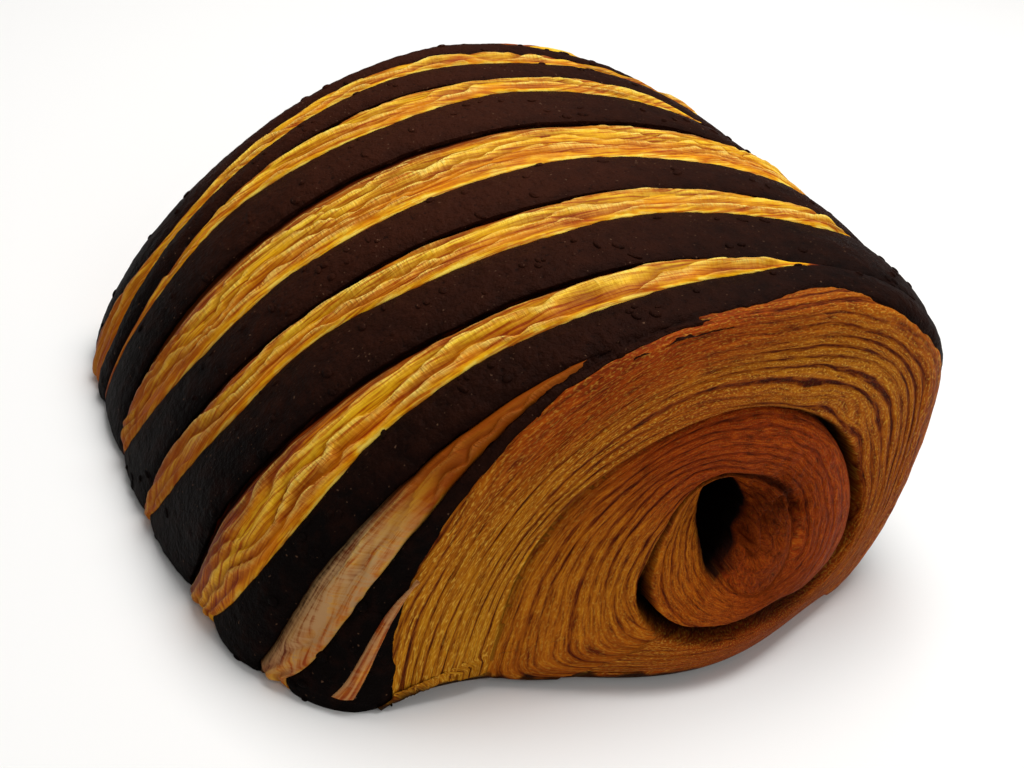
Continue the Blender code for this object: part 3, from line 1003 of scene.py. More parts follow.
    def surface(self, form: RollForm, cover: Array) -> tuple[Array, Values]:
        """The dressed end: its points from the sleeve over the rim and inward, and what its finish reads.

        Args:
            form: The roll that it ends, with this end's own columns.
            cover: Where the outermost band starts to cover it, at each station over the roll.

        Returns:
            Points of shape (rings, columns, 3) and attributes of shape (rings, columns).
        """
        lengths, behind = self.sleeve(form)
        smooth = form.rows(np.repeat(lengths[:, None], form.columns_over, axis=1))
        flat, core = self.plan(smooth[-1])
        x, z = flat[..., 0], flat[..., 1]
        folded = len(lengths) - 1
        rim_radius = np.hypot(x[0] - self.centre[0], z[0] - self.centre[1])[None, :]
        found = self.over_sleeve(self.turns(x, z, np.broadcast_to(rim_radius, x.shape)), behind[:-1])
        found["x"] = np.concatenate([smooth[:-1, :, 0], x])
        found["z"] = np.concatenate([smooth[:-1, :, 2], z])
        found["core"] = np.concatenate([np.zeros(folded), core])[:, None] * np.ones(x.shape[1])
        found |= self.layers(found)
        found |= self.depths(found)
        near_rim = 1 - ease(np.arange(len(core))[:, None], 0, self.swell_rings)
        sunk = found["sunk"][folded:] + found["swell"][folded:] * near_rim
        y = self.side.value * (form.rim_reach + form.bulge(x, z) - sunk) + form.end_turn * x
        face = np.stack([x, y, np.maximum(z, 0)], axis=-1)
        covered = ease(self.side.value * cover[None, :] - np.abs(lengths[:, None]), *self.cover_edge)
        bare = np.concatenate([1 - covered, np.zeros((len(lengths), form.columns_under))], axis=1)
        height = self.sleeve_height * ease(behind[:, None], 0, self.sleeve_rise) * bare
        height = height - self.sleeve_sink * (1 - bare)
        height[:, form.columns_over:] = 0.0
        height = (height - found["relief"][:folded + 1] * bare)[:folded]
        wrapped = smooth[:folded] + form.normals(smooth)[:folded] * self.side.value * height[..., None]
        wrapped[..., 2] = np.maximum(wrapped[..., 2], 0)
        return np.concatenate([wrapped, face]), self.finish_values(found)

    def build(self, form: RollForm, layout: BandLayout, material: Material) -> Piece:
        """Builds the end as a closed plug: sleeve, face and a hidden back inside the roll.

        Args:
            form: The roll that it ends.
            layout: The bands, the outermost of which covers part of the end.
            material: The finish of the cut dough.

        Returns:
            The finished piece.
        """
        own = form.denser(*self.columns)
        front, values = self.surface(own, layout.cover(own, self.side))
        middle = np.array([self.centre[0], front[0, :, 1].mean(), self.centre[1]])
        back = middle + (front[0] - middle) * self.plug_scale
        back[:, 1] = self.side.value * self.plug_reach
        values = {name: np.concatenate([value[:1], value]) for name, value in values.items()}
        name = f"{self.side.name.lower()}_spiral_end"
        piece = closed_stack(name, form, np.concatenate([back[None], front]), values)
        piece.data.materials.append(material)
        ride(piece, Slot.BAKED_DOUGH)
        return piece


def closed_stack(name: str, form: RollForm, rings: Array, values: Values) -> Piece:
    """Joins a stack of closed rings and a pole at each end into one closed mesh that faces outwards.

    Args:
        name: The piece's name.
        form: The roll, which settles the points.
        rings: Points of shape (rings, columns, 3).
        values: Attributes of shape (rings, columns), or with three numbers for each point.

    Returns:
        The mesh's object.
    """
    count, columns = rings.shape[:2]
    poles = [rings[0].mean(axis=0), rings[-1].mean(axis=0)]
    points = form.settled(np.concatenate([rings.reshape(-1, 3), poles]))
    ring, column = np.meshgrid(np.arange(count - 1), np.arange(columns), indexing="ij")
    corners = (ring * columns + column, ring * columns + (column + 1) % columns)
    quads = np.stack([*corners, corners[1] + columns, corners[0] + columns], axis=-1).reshape(-1, 4)
    around = np.arange(columns)
    onward = (around + 1) % columns
    first_pole, last = count * columns, (count - 1) * columns
    first_fan = np.stack([onward, around, np.full(columns, first_pole)], axis=-1)
    last_fan = np.stack([last + around, last + onward, np.full(columns, first_pole + 1)], axis=-1)
    mesh = bpy.data.meshes.new(name)
    mesh.from_pydata(points.tolist(), [], quads.tolist() + first_fan.tolist() + last_fan.tolist())
    triangles = np.concatenate([quads[:, :3], quads[:, [0, 2, 3]], first_fan, last_fan])
    if np.linalg.det(points[triangles]).sum() < 0:
        mesh.flip_normals()
    flat = {key: value.reshape(-1, *value.shape[2:]) for key, value in values.items()}
    write_attributes(mesh, {key: np.concatenate([v, v[:1], v[-1:]]) for key, v in flat.items()})
    return link(name, mesh)


def open_sheet(name: str, points: Array, values: Values) -> Piece:
    """Joins a grid of points into an open sheet.

    Args:
        name: The piece's name.
        points: Points of shape (rows, columns, 3).
        values: One number or vector for each point, by attribute name.

    Returns:
        The mesh's object.
    """
    mesh = bpy.data.meshes.new(name)
    mesh.from_pydata(points.reshape(-1, 3).tolist(), [], grid_quads(*points.shape[:2]).tolist())
    write_attributes(mesh, values)
    return link(name, mesh)


def grid_quads(rows: int, columns: int) -> Array:
    """The faces of a grid of points, as four point numbers each."""
    row, column = np.meshgrid(np.arange(rows - 1), np.arange(columns - 1), indexing="ij")
    corner = (row * columns + column).ravel()
    return np.stack([corner, corner + 1, corner + columns + 1, corner + columns], axis=-1)


def write_attributes(mesh: Mesh, values: Values) -> None:
    """Stores arrays on a mesh's points.

    Args:
        mesh: The mesh.
        values: One number or vector for each point, by attribute name.
    """
    for name, value in values.items():
        vector = value.ndim == 2
        attribute = mesh.attributes.new(name, "FLOAT_VECTOR" if vector else "FLOAT", "POINT")
        attribute.data.foreach_set("vector" if vector else "value", value.astype(np.float32).ravel())


def bake_nodes(piece: Piece, name: str, tree: Tree, values: dict) -> Piece:
    """Runs a geometry node tree on a piece, and leaves the piece a plain mesh that stays above the floor.

    Args:
        piece: The piece whose mesh the tree takes in.
        name: The modifier's name.
        tree: The tree.
        values: The tree's inputs by name, which are set by their sockets' identifiers.

    Returns:
        The same piece, with its new mesh.
    """
    modifier = piece.modifiers.new(name, "NODES")
    modifier.node_group = tree
    for item in tree.interface.items_tree:
        if item.in_out == "INPUT" and item.name in values:
            modifier[item.identifier] = values[item.name]
    mesh = bpy.data.meshes.new_from_object(piece.evaluated_get(bpy.context.evaluated_depsgraph_get()))
    piece.modifiers.clear()
    old = piece.data
    piece.data = mesh
    bpy.data.meshes.remove(old)
    mesh.name = piece.name
    places = np.empty(3 * len(mesh.vertices), dtype=np.float32)
    mesh.vertices.foreach_get("co", places)
    places[2::3] = np.maximum(places[2::3], 0)
    mesh.vertices.foreach_set("co", places)
    mesh.update()
    return piece


def link(name: str, mesh: Mesh) -> Piece:
    """Puts a mesh in the scene.

    Args:
        name: The object's name.
        mesh: Its mesh.

    Returns:
        The object, at the origin.
    """
    piece = bpy.data.objects.new(name, mesh)
    bpy.context.scene.collection.objects.link(piece)
    return piece


def ride(piece: Piece, slot: Slot, *replaced: str) -> None:
    """Puts a finished piece on the part's body.

    Args:
        piece: The piece.
        slot: The record's slot that its finish comes from; not used.
        replaced: The CAD nodes that it stands for.
    """
    piece.data.shade_smooth()
    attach(piece, BODY)
    if replaced:
        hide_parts(*replaced)
    LOG.info("%s: %d faces", piece.name, len(piece.data.polygons))


@dataclass(frozen=True)
class Finish:
    """A finish with the parts that all of them share."""

    name: str
    roughness: float
    specular: float

    def start(self) -> tuple[Material, partial, Node]:
        """Starts a material and sets the shader's constants on its own sockets.

        Returns:
            The material, add_node for its tree, and its shader.
        """
        material = bpy.data.materials.new(self.name)
        material.use_nodes = True
        shader = material.node_tree.nodes["Principled BSDF"]
        shader.inputs["Roughness"].default_value = self.roughness
        shader.inputs["Specular IOR Level"].default_value = self.specular
        shader.inputs["Metallic"].default_value = 0.0
        return material, partial(add_node, material.node_tree), shader

    def dress(self, material: Material, colour: Node, bump: Node) -> Material:
        """Links a colour and a bump to the material's shader.

        Args:
            material: The material.
            colour: The node that gives its colour.
            bump: The node that gives its relief.

        Returns:
            The same material.
        """
        shader = material.node_tree.nodes["Principled BSDF"]
        source = next(output for output in colour.outputs if output.enabled)
        material.node_tree.links.new(source, shader.inputs["Base Color"])
        material.node_tree.links.new(bump.outputs[0], shader.inputs["Normal"])
        return material


@dataclass(frozen=True)
class CrustFinish(Finish):
    """Egg-washed laminated crust: amber dough with painted highlights on its sheet crests and painted shadow in
    the troughs behind them.
    """

    name: str = "egg_washed_laminated_crust"
    roughness: float = 0.5
    specular: float = 0.06
    line_mm: float = 0.40
    line_length_mm: float = 8.0
    blotch_mm: float = 1.5
    blotch_length_mm: float = 4.0
    stroke_mm: float = 0.42
    stroke_length_mm: float = 2.2
    # Across a gap from the near band: a pale lip, amber crust, a bright ridge that is partly its own colour and
    # partly painted highlight, a darker slope that is partly baked colour and partly painted shade, and painted
    # shadow under the far band's front edge.
    stops: tuple = (
        (0.00, "#FFDC58"), (0.04, "#F8B818"), (0.12, "#DE8200"), (0.28, "#E08A00"), (0.44, "#F6B80C"),
        (0.56, "#FFCE28"), (0.63, "#E09204"), (0.70, "#B66000"), (0.80, "#904200"), (0.90, "#6E2A00"),
        (0.97, "#401600"), (1.00, "#1C0700"),
    )
    # Along each torn sheet: painted highlight on its crest, and painted shadow in the trough behind its drop.
    sheet_stops: tuple = (
        (0.0, "#000000"), (0.08, "#0A0A0A"), (0.40, "#6A6A6A"), (0.66, "#E8E8E8"), (0.80, "#FFFFFF"),
        (0.88, "#303030"), (1.0, "#000000"),
    )
    # cream is the painted highlight on sheet crests and furrow the painted shadow in the troughs; dim darkens
    # where tone is low.
    cream: str = "#FFE878"
    furrow: str = "#8C3E00"
    fold_brown: str = "#B8660F"
    floury: str = "#C8A674"
    toasted: str = "#8E4206"
    dim: str = "#B87014"

    def material(self) -> Material:
        """Builds the crust, which gives the eye sheet edges with painted highlights, painted shadow behind
        them, darker slopes partly of painted shade, and fine flaky lines.

        Returns:
            The material.
        """
        material, add, _ = self.start()
        coords = add("ShaderNodeAttribute", {"attribute_name": "crust_coords"}).outputs["Vector"]
        long_scale = (1 / self.line_length_mm, 1 / self.line_mm, 1.0)
        blotch_scale = (1 / self.blotch_length_mm, 1 / self.blotch_mm, 1.0)
        stroke_scale = (1 / self.stroke_mm, 1 / self.stroke_length_mm, 1.0)
        grains = []
        for scale, detail in ((long_scale, 3.0), (blotch_scale, 4.0), (stroke_scale, 2.0)):
            place = add("ShaderNodeMapping", None, {"Vector": coords, "Scale": scale})
            grains.append(add("ShaderNodeTexNoise", None, {
                "Vector": place, "Scale": 1.0, "Detail": detail, "Roughness": 0.6}))
        lines, blotch, stroke = grains
        names = ("gap_share", "sheets_passed", "sheet_strength", "floury", "tone", "toast")
        share, passed, standing, flour, tone, toast = (
            add("ShaderNodeAttribute", {"attribute_name": name}).outputs["Fac"] for name in names)
        sway = add("ShaderNodeMapRange", None, {"Value": blotch, "To Min": -0.20, "To Max": 0.20})
        moved = add("ShaderNodeMath", {"operation": "ADD"}, {0: share, 1: sway})
        colour = add("ShaderNodeValToRGB", {"stops": self.stops}, {0: moved})
        wobble = add("ShaderNodeMapRange", None, {"Value": stroke, "To Min": -0.16, "To Max": 0.16})
        place = add("ShaderNodeMath", {"operation": "ADD"}, {0: passed, 1: wobble})
        place = add("ShaderNodeMath", {"operation": "FRACT"}, {0: place})
        sheet = add("ShaderNodeValToRGB", {"stops": self.sheet_stops}, {0: place})
        strokes = add("ShaderNodeMapRange", None, {
            "Value": stroke, "From Min": 0.32, "From Max": 0.62, "To Min": 0.55, "To Max": 1.0})
        # crest: painted highlight along each sheet's edge; trough: painted shadow behind it.
        crest = add("ShaderNodeMath", {"operation": "MULTIPLY"}, {0: sheet, 1: standing})
        crest = add("ShaderNodeMath", {"operation": "MULTIPLY", "use_clamp": True}, {0: crest, 1: strokes})
        trough = add("ShaderNodeMapRange", None, {
            "Value": sheet, "From Min": 0.0, "From Max": 0.24, "To Min": 0.9, "To Max": 0.0})
        trough = add("ShaderNodeMath", {"operation": "MULTIPLY"}, {0: trough, 1: standing})
        dark_line = add("ShaderNodeMapRange", None, {
            "Value": lines, "From Min": 0.36, "From Max": 0.56, "To Min": 0.9, "To Max": 0.0})
        dusting = add("ShaderNodeMath", {"operation": "MULTIPLY_ADD"}, {0: blotch, 1: 0.6, 2: lines})
        dusting = add("ShaderNodeMath", {"operation": "MULTIPLY_ADD"}, {0: stroke, 1: 0.5, 2: dusting})
        dusted = add("ShaderNodeMapRange", None, {
            "Value": dusting, "From Min": 0.88, "From Max": 1.16, "To Min": 0.1, "To Max": 1.0})
        flour = add("ShaderNodeMath", {"operation": "MULTIPLY"}, {0: flour, 1: dusted})
        # pale is how far the crust is darkened: low on the flanks, partly baked colour and partly painted
        # shade, and up the first gap.
        pale = add("ShaderNodeMath", {"operation": "SUBTRACT"}, {0: 1.0, 1: tone})
        for amount, hex_colour, blend in (
            (trough, self.furrow, "MIX"), (crest, self.cream, "MIX"), (dark_line, self.fold_brown, "MULTIPLY"),
            (flour, self.floury, "MIX"), (pale, self.dim, "MULTIPLY"), (toast, self.toasted, "MIX"),
        ):
            colour = add("ShaderNodeMix", {"data_type": "RGBA", "blend_type": blend}, {
                0: amount, 6: colour, 7: linear(hex_colour)})
        height = add("ShaderNodeMath", {"operation": "MULTIPLY_ADD"}, {0: lines, 1: 0.7, 2: crest})
        height = add("ShaderNodeMath", {"operation": "MULTIPLY_ADD"}, {0: stroke, 1: 0.15, 2: height})
        bump = add("ShaderNodeBump", None, {"Strength": 0.7, "Distance": 0.30 * MM, "Height": height})
        return self.dress(material, colour, bump)


@dataclass(frozen=True)
class CutEndFinish(Finish):
    """The cut edges of laminated dough, baked to thin golden-brown folds, with painted shade in the furrows
    between them.
    """

    name: str = "baked_cut_edges_of_laminated_dough"
    roughness: float = 0.6
    specular: float = 0.05
    stops: tuple = (
        (0.0, "#401402"), (0.25, "#702C03"), (0.50, "#984A04"), (0.75, "#B56308"), (1.0, "#CE8A18"),
    )
    red_stops: tuple = ((0.0, "#3C0E02"), (0.35, "#6E2402"), (0.7, "#933404"), (1.0, "#AE4C08"))
    speck: str = "#E8B040"
    gold: str = "#C88A18"
    lip: str = "#B86A2C"
    # dark is mixed in by the shade attribute: painted shade in the creases, the hole and the pits, and the
    # scorched foot.
    dark: str = "#060100"
    line_mm: float = 0.42
    line_length_mm: float = 2.2
    blotch_mm: float = 2.2
    speck_mm: float = 0.30
    speck_length_mm: float = 0.38

    def material(self) -> Material:
        """Builds the spiral's finish, which gives the eye speckled crests with painted glints, painted shade in
        the furrows and black painted shade down the core.

        Returns:
            The material.
        """
        material, add, _ = self.start()
        coords = add("ShaderNodeAttribute", {"attribute_name": "spiral_coords"}).outputs["Vector"]
        grains = []
        for width_mm, length_mm, detail in (
            (self.line_mm, self.line_length_mm, 3.0),
            (self.blotch_mm, self.blotch_mm * 2.5, 3.0),
            (self.speck_mm, self.speck_length_mm, 1.0),
        ):
            place = add("ShaderNodeMapping", None, {
                "Vector": coords, "Scale": (1 / length_mm, 1 / width_mm, 1.0)})
            grains.append(add("ShaderNodeTexNoise", None, {
                "Vector": place, "Scale": 1.0, "Detail": detail, "Roughness": 0.6}))
        fine, blotch, grit = grains
        names = ("fold_phase", "fold_strength", "redness", "goldness", "speckle", "lip", "shade")
        phase, strength, redness, goldness, speckle, lip, shade = (
            add("ShaderNodeAttribute", {"attribute_name": name}).outputs["Fac"] for name in names)
        turned = add("ShaderNodeMath", {"operation": "MULTIPLY"}, {0: phase, 1: 2 * math.pi})
        wave = add("ShaderNodeMath", {"operation": "COSINE"}, {0: turned})
        wave = add("ShaderNodeMapRange", None, {"Value": wave, "From Min": -0.4, "From Max": 1.0})
        wave = add("ShaderNodeMath", {"operation": "POWER"}, {0: wave, 1: 1.6})
        valley = add("ShaderNodeMath", {"operation": "MULTIPLY"}, {0: wave, 1: strength})
        level = add("ShaderNodeMapRange", {"clamp": False}, {
            "Value": fine, "From Min": 0.3, "From Max": 0.7, "To Min": 0.28, "To Max": 1.02})
        patch = add("ShaderNodeMapRange", None, {"Value": blotch, "To Min": -0.36, "To Max": 0.36})
        level = add("ShaderNodeMath", {"operation": "ADD"}, {0: level, 1: patch})
        # Painted shade in the fold furrows.
        level = add("ShaderNodeMath", {"operation": "MULTIPLY_ADD"}, {0: valley, 1: -0.72, 2: level})
        base = add("ShaderNodeValToRGB", {"stops": self.stops}, {0: level})
        red = add("ShaderNodeValToRGB", {"stops": self.red_stops}, {0: level})
        colour = add("ShaderNodeMix", {"data_type": "RGBA"}, {0: redness, 6: base, 7: red})
        golden = add("ShaderNodeMapRange", None, {
            "Value": level, "From Min": 0.2, "From Max": 0.9, "To Min": 0.0, "To Max": 0.75})
        golden = add("ShaderNodeMath", {"operation": "MULTIPLY"}, {0: golden, 1: goldness})
        # Pale golden specks on the fold crests: partly flecks of crust, partly painted glints.
        crest = add("ShaderNodeMapRange", None, {
            "Value": valley, "From Min": 0.0, "From Max": 0.4, "To Min": 0.75, "To Max": 0.06})
        speck = add("ShaderNodeMapRange", None, {"Value": grit, "From Min": 0.50, "From Max": 0.70})
        light = add("ShaderNodeMath", {"operation": "MULTIPLY"}, {0: speck, 1: crest})
        light = add("ShaderNodeMath", {"operation": "MULTIPLY"}, {0: light, 1: speckle})
        lip = add("ShaderNodeMath", {"operation": "MULTIPLY"}, {0: lip, 1: 0.8})
        marks = ((golden, self.gold), (light, self.speck), (lip, self.lip), (shade, self.dark))
        for amount, hex_colour in marks:
            colour = add("ShaderNodeMix", {"data_type": "RGBA"}, {0: amount, 6: colour, 7: linear(hex_colour)})
        height = add("ShaderNodeMath", {"operation": "MULTIPLY_ADD"}, {0: speck, 1: 0.25, 2: level})
        bump = add("ShaderNodeBump", None, {"Strength": 0.75, "Distance": 0.30 * MM, "Height": height})
        return self.dress(material, colour, bump)


@dataclass(frozen=True)
class CocoaFinish(Finish):
    """Baked cocoa dough: matt and almost black, with painted shade in small pits and a few pale specks of
    painted glint.
    """

    name: str = "baked_cocoa_dough"
    roughness: float = 0.62
    specular: float = 0.03
    dark: str = "#080302"
    light: str = "#37180C"
    pale: str = "#7A5A44"
    mottle_mm: float = 3.0
    pit_mm: float = 0.8
    grain_mm: float = 0.45

    def material(self) -> Material:
        """Builds the cocoa dough, which gives the eye a nearly black strip with a painted lighter brown where
        light falls on its crown.

        Returns:
            The material.
        """
        material, add, _ = self.start()
        place = add("ShaderNodeTexCoord").outputs["Object"]
        tone = add("ShaderNodeAttribute", {"attribute_name": "cocoa_tone"}).outputs["Fac"]
        mottle = add("ShaderNodeTexNoise", None, {
            "Vector": place, "Scale": 1 / (self.mottle_mm * MM), "Detail": 4.0, "Roughness": 0.6})
        pits = add("ShaderNodeTexNoise", None, {
            "Vector": place, "Scale": 1 / (self.pit_mm * MM), "Detail": 4.0, "Roughness": 0.65})
        specks = add("ShaderNodeTexNoise", None, {
            "Vector": place, "Scale": 1 / (self.grain_mm * MM), "Detail": 0.0})
        # cocoa_tone mixes from dark to light: painted light on the crown, painted shade low, toward the near
        # end, on the right and at the front edge.
        sway = add("ShaderNodeMapRange", None, {
            "Value": mottle, "From Min": 0.3, "From Max": 0.7, "To Min": -0.16, "To Max": 0.16})
        share = add("ShaderNodeMath", {"operation": "ADD", "use_clamp": True}, {0: tone, 1: sway})
        colour = add("ShaderNodeMix", {"data_type": "RGBA"}, {
            0: share, 6: linear(self.dark), 7: linear(self.light)})
        # Painted shade in the pits of the bump.
        sunk = add("ShaderNodeMapRange", None, {
            "Value": pits, "From Min": 0.28, "From Max": 0.42, "To Min": 0.7, "To Max": 0.0})
        colour = add("ShaderNodeMix", {"data_type": "RGBA"}, {0: sunk, 6: colour, 7: linear(self.dark)})
        # A few pale specks: painted glints.
        sparse = add("ShaderNodeMapRange", None, {
            "Value": specks, "From Min": 0.79, "From Max": 0.86, "To Min": 0.0, "To Max": 0.45})
        colour = add("ShaderNodeMix", {"data_type": "RGBA"}, {0: sparse, 6: colour, 7: linear(self.pale)})
        height = add("ShaderNodeMath", {"operation": "MULTIPLY_ADD"}, {0: mottle, 1: 1.2, 2: pits})
        bump = add("ShaderNodeBump", None, {"Strength": 0.9, "Distance": 0.5 * MM, "Height": height})
        return self.dress(material, colour, bump)


@dataclass(frozen=True)
class FloorFinish(Finish):
    """Matt white studio board, which gives the eye a plain pale ground."""

    name: str = "matt_white_studio_board"
    roughness: float = 0.7
    specular: float = 0.2
    white: str = "#F7F6F4"
    tooth_mm: float = 2.5

    def material(self) -> Material:
        """Builds the board, with a trace of tooth in its surface.

        Returns:
            The material.
        """
        material, add, shader = self.start()
        shader.inputs["Base Color"].default_value = linear(self.white)
        place = add("ShaderNodeTexCoord").outputs["Object"]
        tooth = add("ShaderNodeTexNoise", None, {"Vector": place, "Scale": 1 / (self.tooth_mm * MM)})
        bump = add("ShaderNodeBump", None, {"Strength": 0.05, "Distance": 0.1 * MM, "Height": tooth})
        material.node_tree.links.new(bump.outputs[0], shader.inputs["Normal"])
        return material


@dataclass(frozen=True)
class LaminatedRoll:
    """The golden roll's barrel, with the crust in the gaps between bands and a seat under each band.

    Rows in a gap have the gap's whole number as their place, and those of a seat lie halfway between two.
    """

    form: RollForm
    layout: BandLayout
    gap_crust: GapCrust = field(default_factory=GapCrust)
    foot_spans: tuple = ((0.03, 0.14), (0.90, 0.985))
    seat_depth: float = 1.0 * MM
    seat_wall: float = 0.2 * MM
    seat_wall_share: float = 0.3
    seat_widths: Pair = (0.3 * MM, 2 * MM)
    closing_gaps: Pair = (0.15 * MM, 0.9 * MM)
    foot_retreat: float = 2.2 * MM
    retreat_span: Pair = (0.02, 0.17)
    retreat_evenness: Pair = (0.7, 0.3)
    retreat_pattern: Triple = (1.4 * MM, 2.0, 71.0)
    rim_start: float = 47.2 * MM
    rim_squeeze: float = 0.25
    rim_drop: float = 1.1 * MM
    rim_drop_start: float = 0.97
    rim_rows: int = 16
    rim_profile: float = 0.7
    rim_colours: Pair = (0.45, 0.35)
    pocket_reach: float = 29 * MM
    pocket_scale: float = 0.8
    underside_step_mm: float = 6.0
    underside_share: float = 0.8
    pattern_stride: float = 7.0
    underside_pattern: float = 60.0
    low_left_span: Pair = (4 * MM, 38 * MM)
    low_left_bake_and_shade: float = 0.17
    low_right_span: Pair = (2 * MM, 30 * MM)
    flour_spans: tuple = ((-2 * MM, 6 * MM), (16 * MM, 32 * MM))
    first_gap_dim: Triple = (0.7, 20 * MM, 36 * MM)
    first_gap_toast: Triple = (0.85, 20 * MM, 34 * MM)
    dims: Pair = (0.5, 0.3)
    toasts: Pair = (0.55, 0.6)
    far_gap: int = 3

    def row(self, length: Array, height: Array, share: Array, place: float, pleats: tuple = (0, 0)) -> Array:
        """One row of the barrel, squeezed and lowered near the rims and flat at the feet.

        Args:
            length: Where the row runs along the roll.
            height: Its height over the smooth form.
            share: Its place across the gap, which sets its colour.
            place: Which gap or seat it lies in.
            pleats: The sheets passed and their strength.

        Returns:
            Six values for each station: length, height, share, place, sheets passed and their strength.
        """
        t = self.form.stations()
        off_feet = between(t, *self.foot_spans)
        reach = np.abs(length)
        squeezed = np.sign(length) * (self.rim_start + (reach - self.rim_start) * self.rim_squeeze)
        drop = self.rim_drop * ease(reach, self.rim_drop_start * self.rim_start, self.rim_start)
        length = np.where(reach > self.rim_start, squeezed, length)
        return np.stack(np.broadcast_arrays(length, (height - drop) * off_feet, share, place, *pleats))

    def rows(self) -> Array:
        """All rows of the barrel, from the nearer rim to the farther one.

        Returns:
            Six arrays of shape (rows, stations), in the order that row gives.
        """
        arc, crust, rim = self.form.arc(), self.gap_crust, self.form.rim_reach
        edges = self.layout.edges(self.form)
        rows = [self.row(np.full_like(arc, -rim), 0.0, 1.0, -1.0)]
        for index, (front, back) in enumerate(edges):
            if index:
                start = edges[index - 1][1]
                gap = front - start
                closing = 1 - ease(gap, *self.closing_gaps)
                for share in crust.shares():
                    crossed = (share, gap, arc, index)
                    height, pleats = crust.relief(*crossed), crust.pleats(*crossed)
                    # Gaps too narrow to open take the ramp's darkest end: painted shadow in the narrow crevice.
                    colour = np.maximum(share, closing)
                    rows.append(self.row(start + share * gap, height, colour, index, pleats))
            wall = np.minimum(self.seat_wall, self.seat_wall_share * (back - front))
            deep = -self.seat_depth * ease(back - front, *self.seat_widths)
            seat = (front + wall, (front + back) / 2, back - wall)
            # Seat rows under each band take the ramp's darkest end: painted shade under the band.
            rows += [self.row(length, deep, 1.0, index + 0.5) for length in seat]
        start = edges[-1][1]
        gap = rim - start
        for share in np.linspace(0, 1, self.rim_rows):
            crossed = (self.rim_profile * share, gap, arc, len(edges))
            passed, standing = crust.pleats(*crossed)
            pleats = (passed, standing * (1 - share))
            colour = self.rim_colours[0] + self.rim_colours[1] * share
            height = crust.relief(*crossed) * (1 - share)
            rows.append(self.row(start + share * gap, height, colour, len(edges), pleats))
        return np.array(rows).transpose(1, 0, 2)

    def with_underside(self, values: Array, fill: float) -> Array:
        """The values over the roll, with a constant under it."""
        return np.concatenate([values, np.full((len(values), self.form.columns_under), fill)], axis=1)

    def barrel(self) -> tuple[Array, Values]:
        """The side of the roll, torn and shrunk between the bands at its left foot.

        Returns:
            Its points from the nearer rim to the farther one, and the attributes that its finish reads.
        """
        lengths, heights, shares, places, passed, standing = self.rows()
        t, arc = self.form.stations(), self.form.arc()
        smooth = self.form.rows(lengths)
        points = smooth + self.form.normals(smooth) * self.with_underside(heights, 0.0)[..., None]
        in_gap = (places == np.floor(places)) & (places > 0)
        middle = np.sin(math.pi * np.clip(shares, 0, 1)) * in_gap
        low = 1 - ease(t, *self.retreat_span)
        usual, varying = self.retreat_evenness
        size, length_mm, seed = self.retreat_pattern
        torn = usual + varying * grain(points[:, : len(t), 1] / size, arc / length_mm, seed)
        points[:, : len(t), 0] += self.foot_retreat * middle * low * torn
        points[..., 2] = np.maximum(points[..., 2], 0)
        return points, self.crust_attributes(points, shares, places) | {
            "sheets_passed": self.with_underside(passed, 0.0),
            "sheet_strength": self.with_underside(standing, 0.0),
        }

    def crust_attributes(self, points: Array, shares: Array, places: Array) -> Values:
        """What the crust's finish reads: where each point is across its gap, and how it has baked.

        Args:
            points: The barrel's points.
            shares: Each row's place across its gap.
            places: Which gap or seat each row lies in.

        Returns:
            The mesh's attributes by name.
        """
        x, y, z = points[..., 0], points[..., 1], points[..., 2]
        arc = self.form.arc()
        under = arc[-1] + self.underside_step_mm * np.arange(1, self.form.columns_under + 1)
        arc = np.broadcast_to(np.concatenate([arc, under]), x.shape)
        pattern = self.with_underside(places * self.pattern_stride, self.underside_pattern)
        first_gap = self.with_underside(places == 1, 0.0)
        low_left = (1 - ease(z, *self.low_left_span)) * (x < self.form.crown_shift)
        low_right = (1 - ease(z, *self.low_right_span)) * (x > self.form.crown_shift)
        far_left = self.with_underside(places >= self.far_gap, 0.0) * low_left
        dim, *dim_span = self.first_gap_dim
        toast, *toast_span = self.first_gap_toast
        # Darker low on both flanks, partly baked colour and partly painted shade, and darker up the first gap.
        tone = 1 - self.dims[0] * low_left - self.dims[1] * low_right - dim * first_gap * ease(z, *dim_span)
        toasted = self.toasts[0] * low_right + self.toasts[1] * far_left
        toasted = toasted + toast * first_gap * ease(z, *toast_span)
        hollow = self.with_underside(np.sin(math.pi * shares), 0.0)
        return {
            "crust_coords": np.stack([arc, y / MM, pattern], axis=-1),
            # The low left gaps also move toward the ramp's darker end: partly baked colour, partly painted
            # shade.
            "gap_share": self.with_underside(shares, self.underside_share) + self.low_left_bake_and_shade * low_left * hollow,
            "tone": np.clip(tone, 0, 1),
            "floury": first_gap * between(z, *self.flour_spans),
            "toast": np.clip(toasted + self.with_underside(np.zeros_like(shares), 1.0), 0, 1),
        }

    def build(self, crust: Material) -> Piece:
        """Builds the barrel as one closed mesh with a pocket at each end for that end's plug.

        Args:
            crust: The finish of the side.

        Returns:
            The finished piece, which stands for the CAD roll.
        """
        barrel, values = self.barrel()
        middle = barrel.mean(axis=(0, 1))
        floors = middle + (barrel[[0, -1]] - middle) * self.pocket_scale
        floors[0, :, 1], floors[1, :, 1] = -self.pocket_reach, self.pocket_reach
        values = {name: np.concatenate([value[:1], value, value[-1:]]) for name, value in values.items()}
        rings = np.concatenate([floors[:1], barrel, floors[1:]])
        piece = closed_stack("laminated_roll", self.form, rings, values)
        piece.data.materials.append(crust)
        ride(piece, Slot.BAKED_DOUGH, "pastry_roll")
        return piece


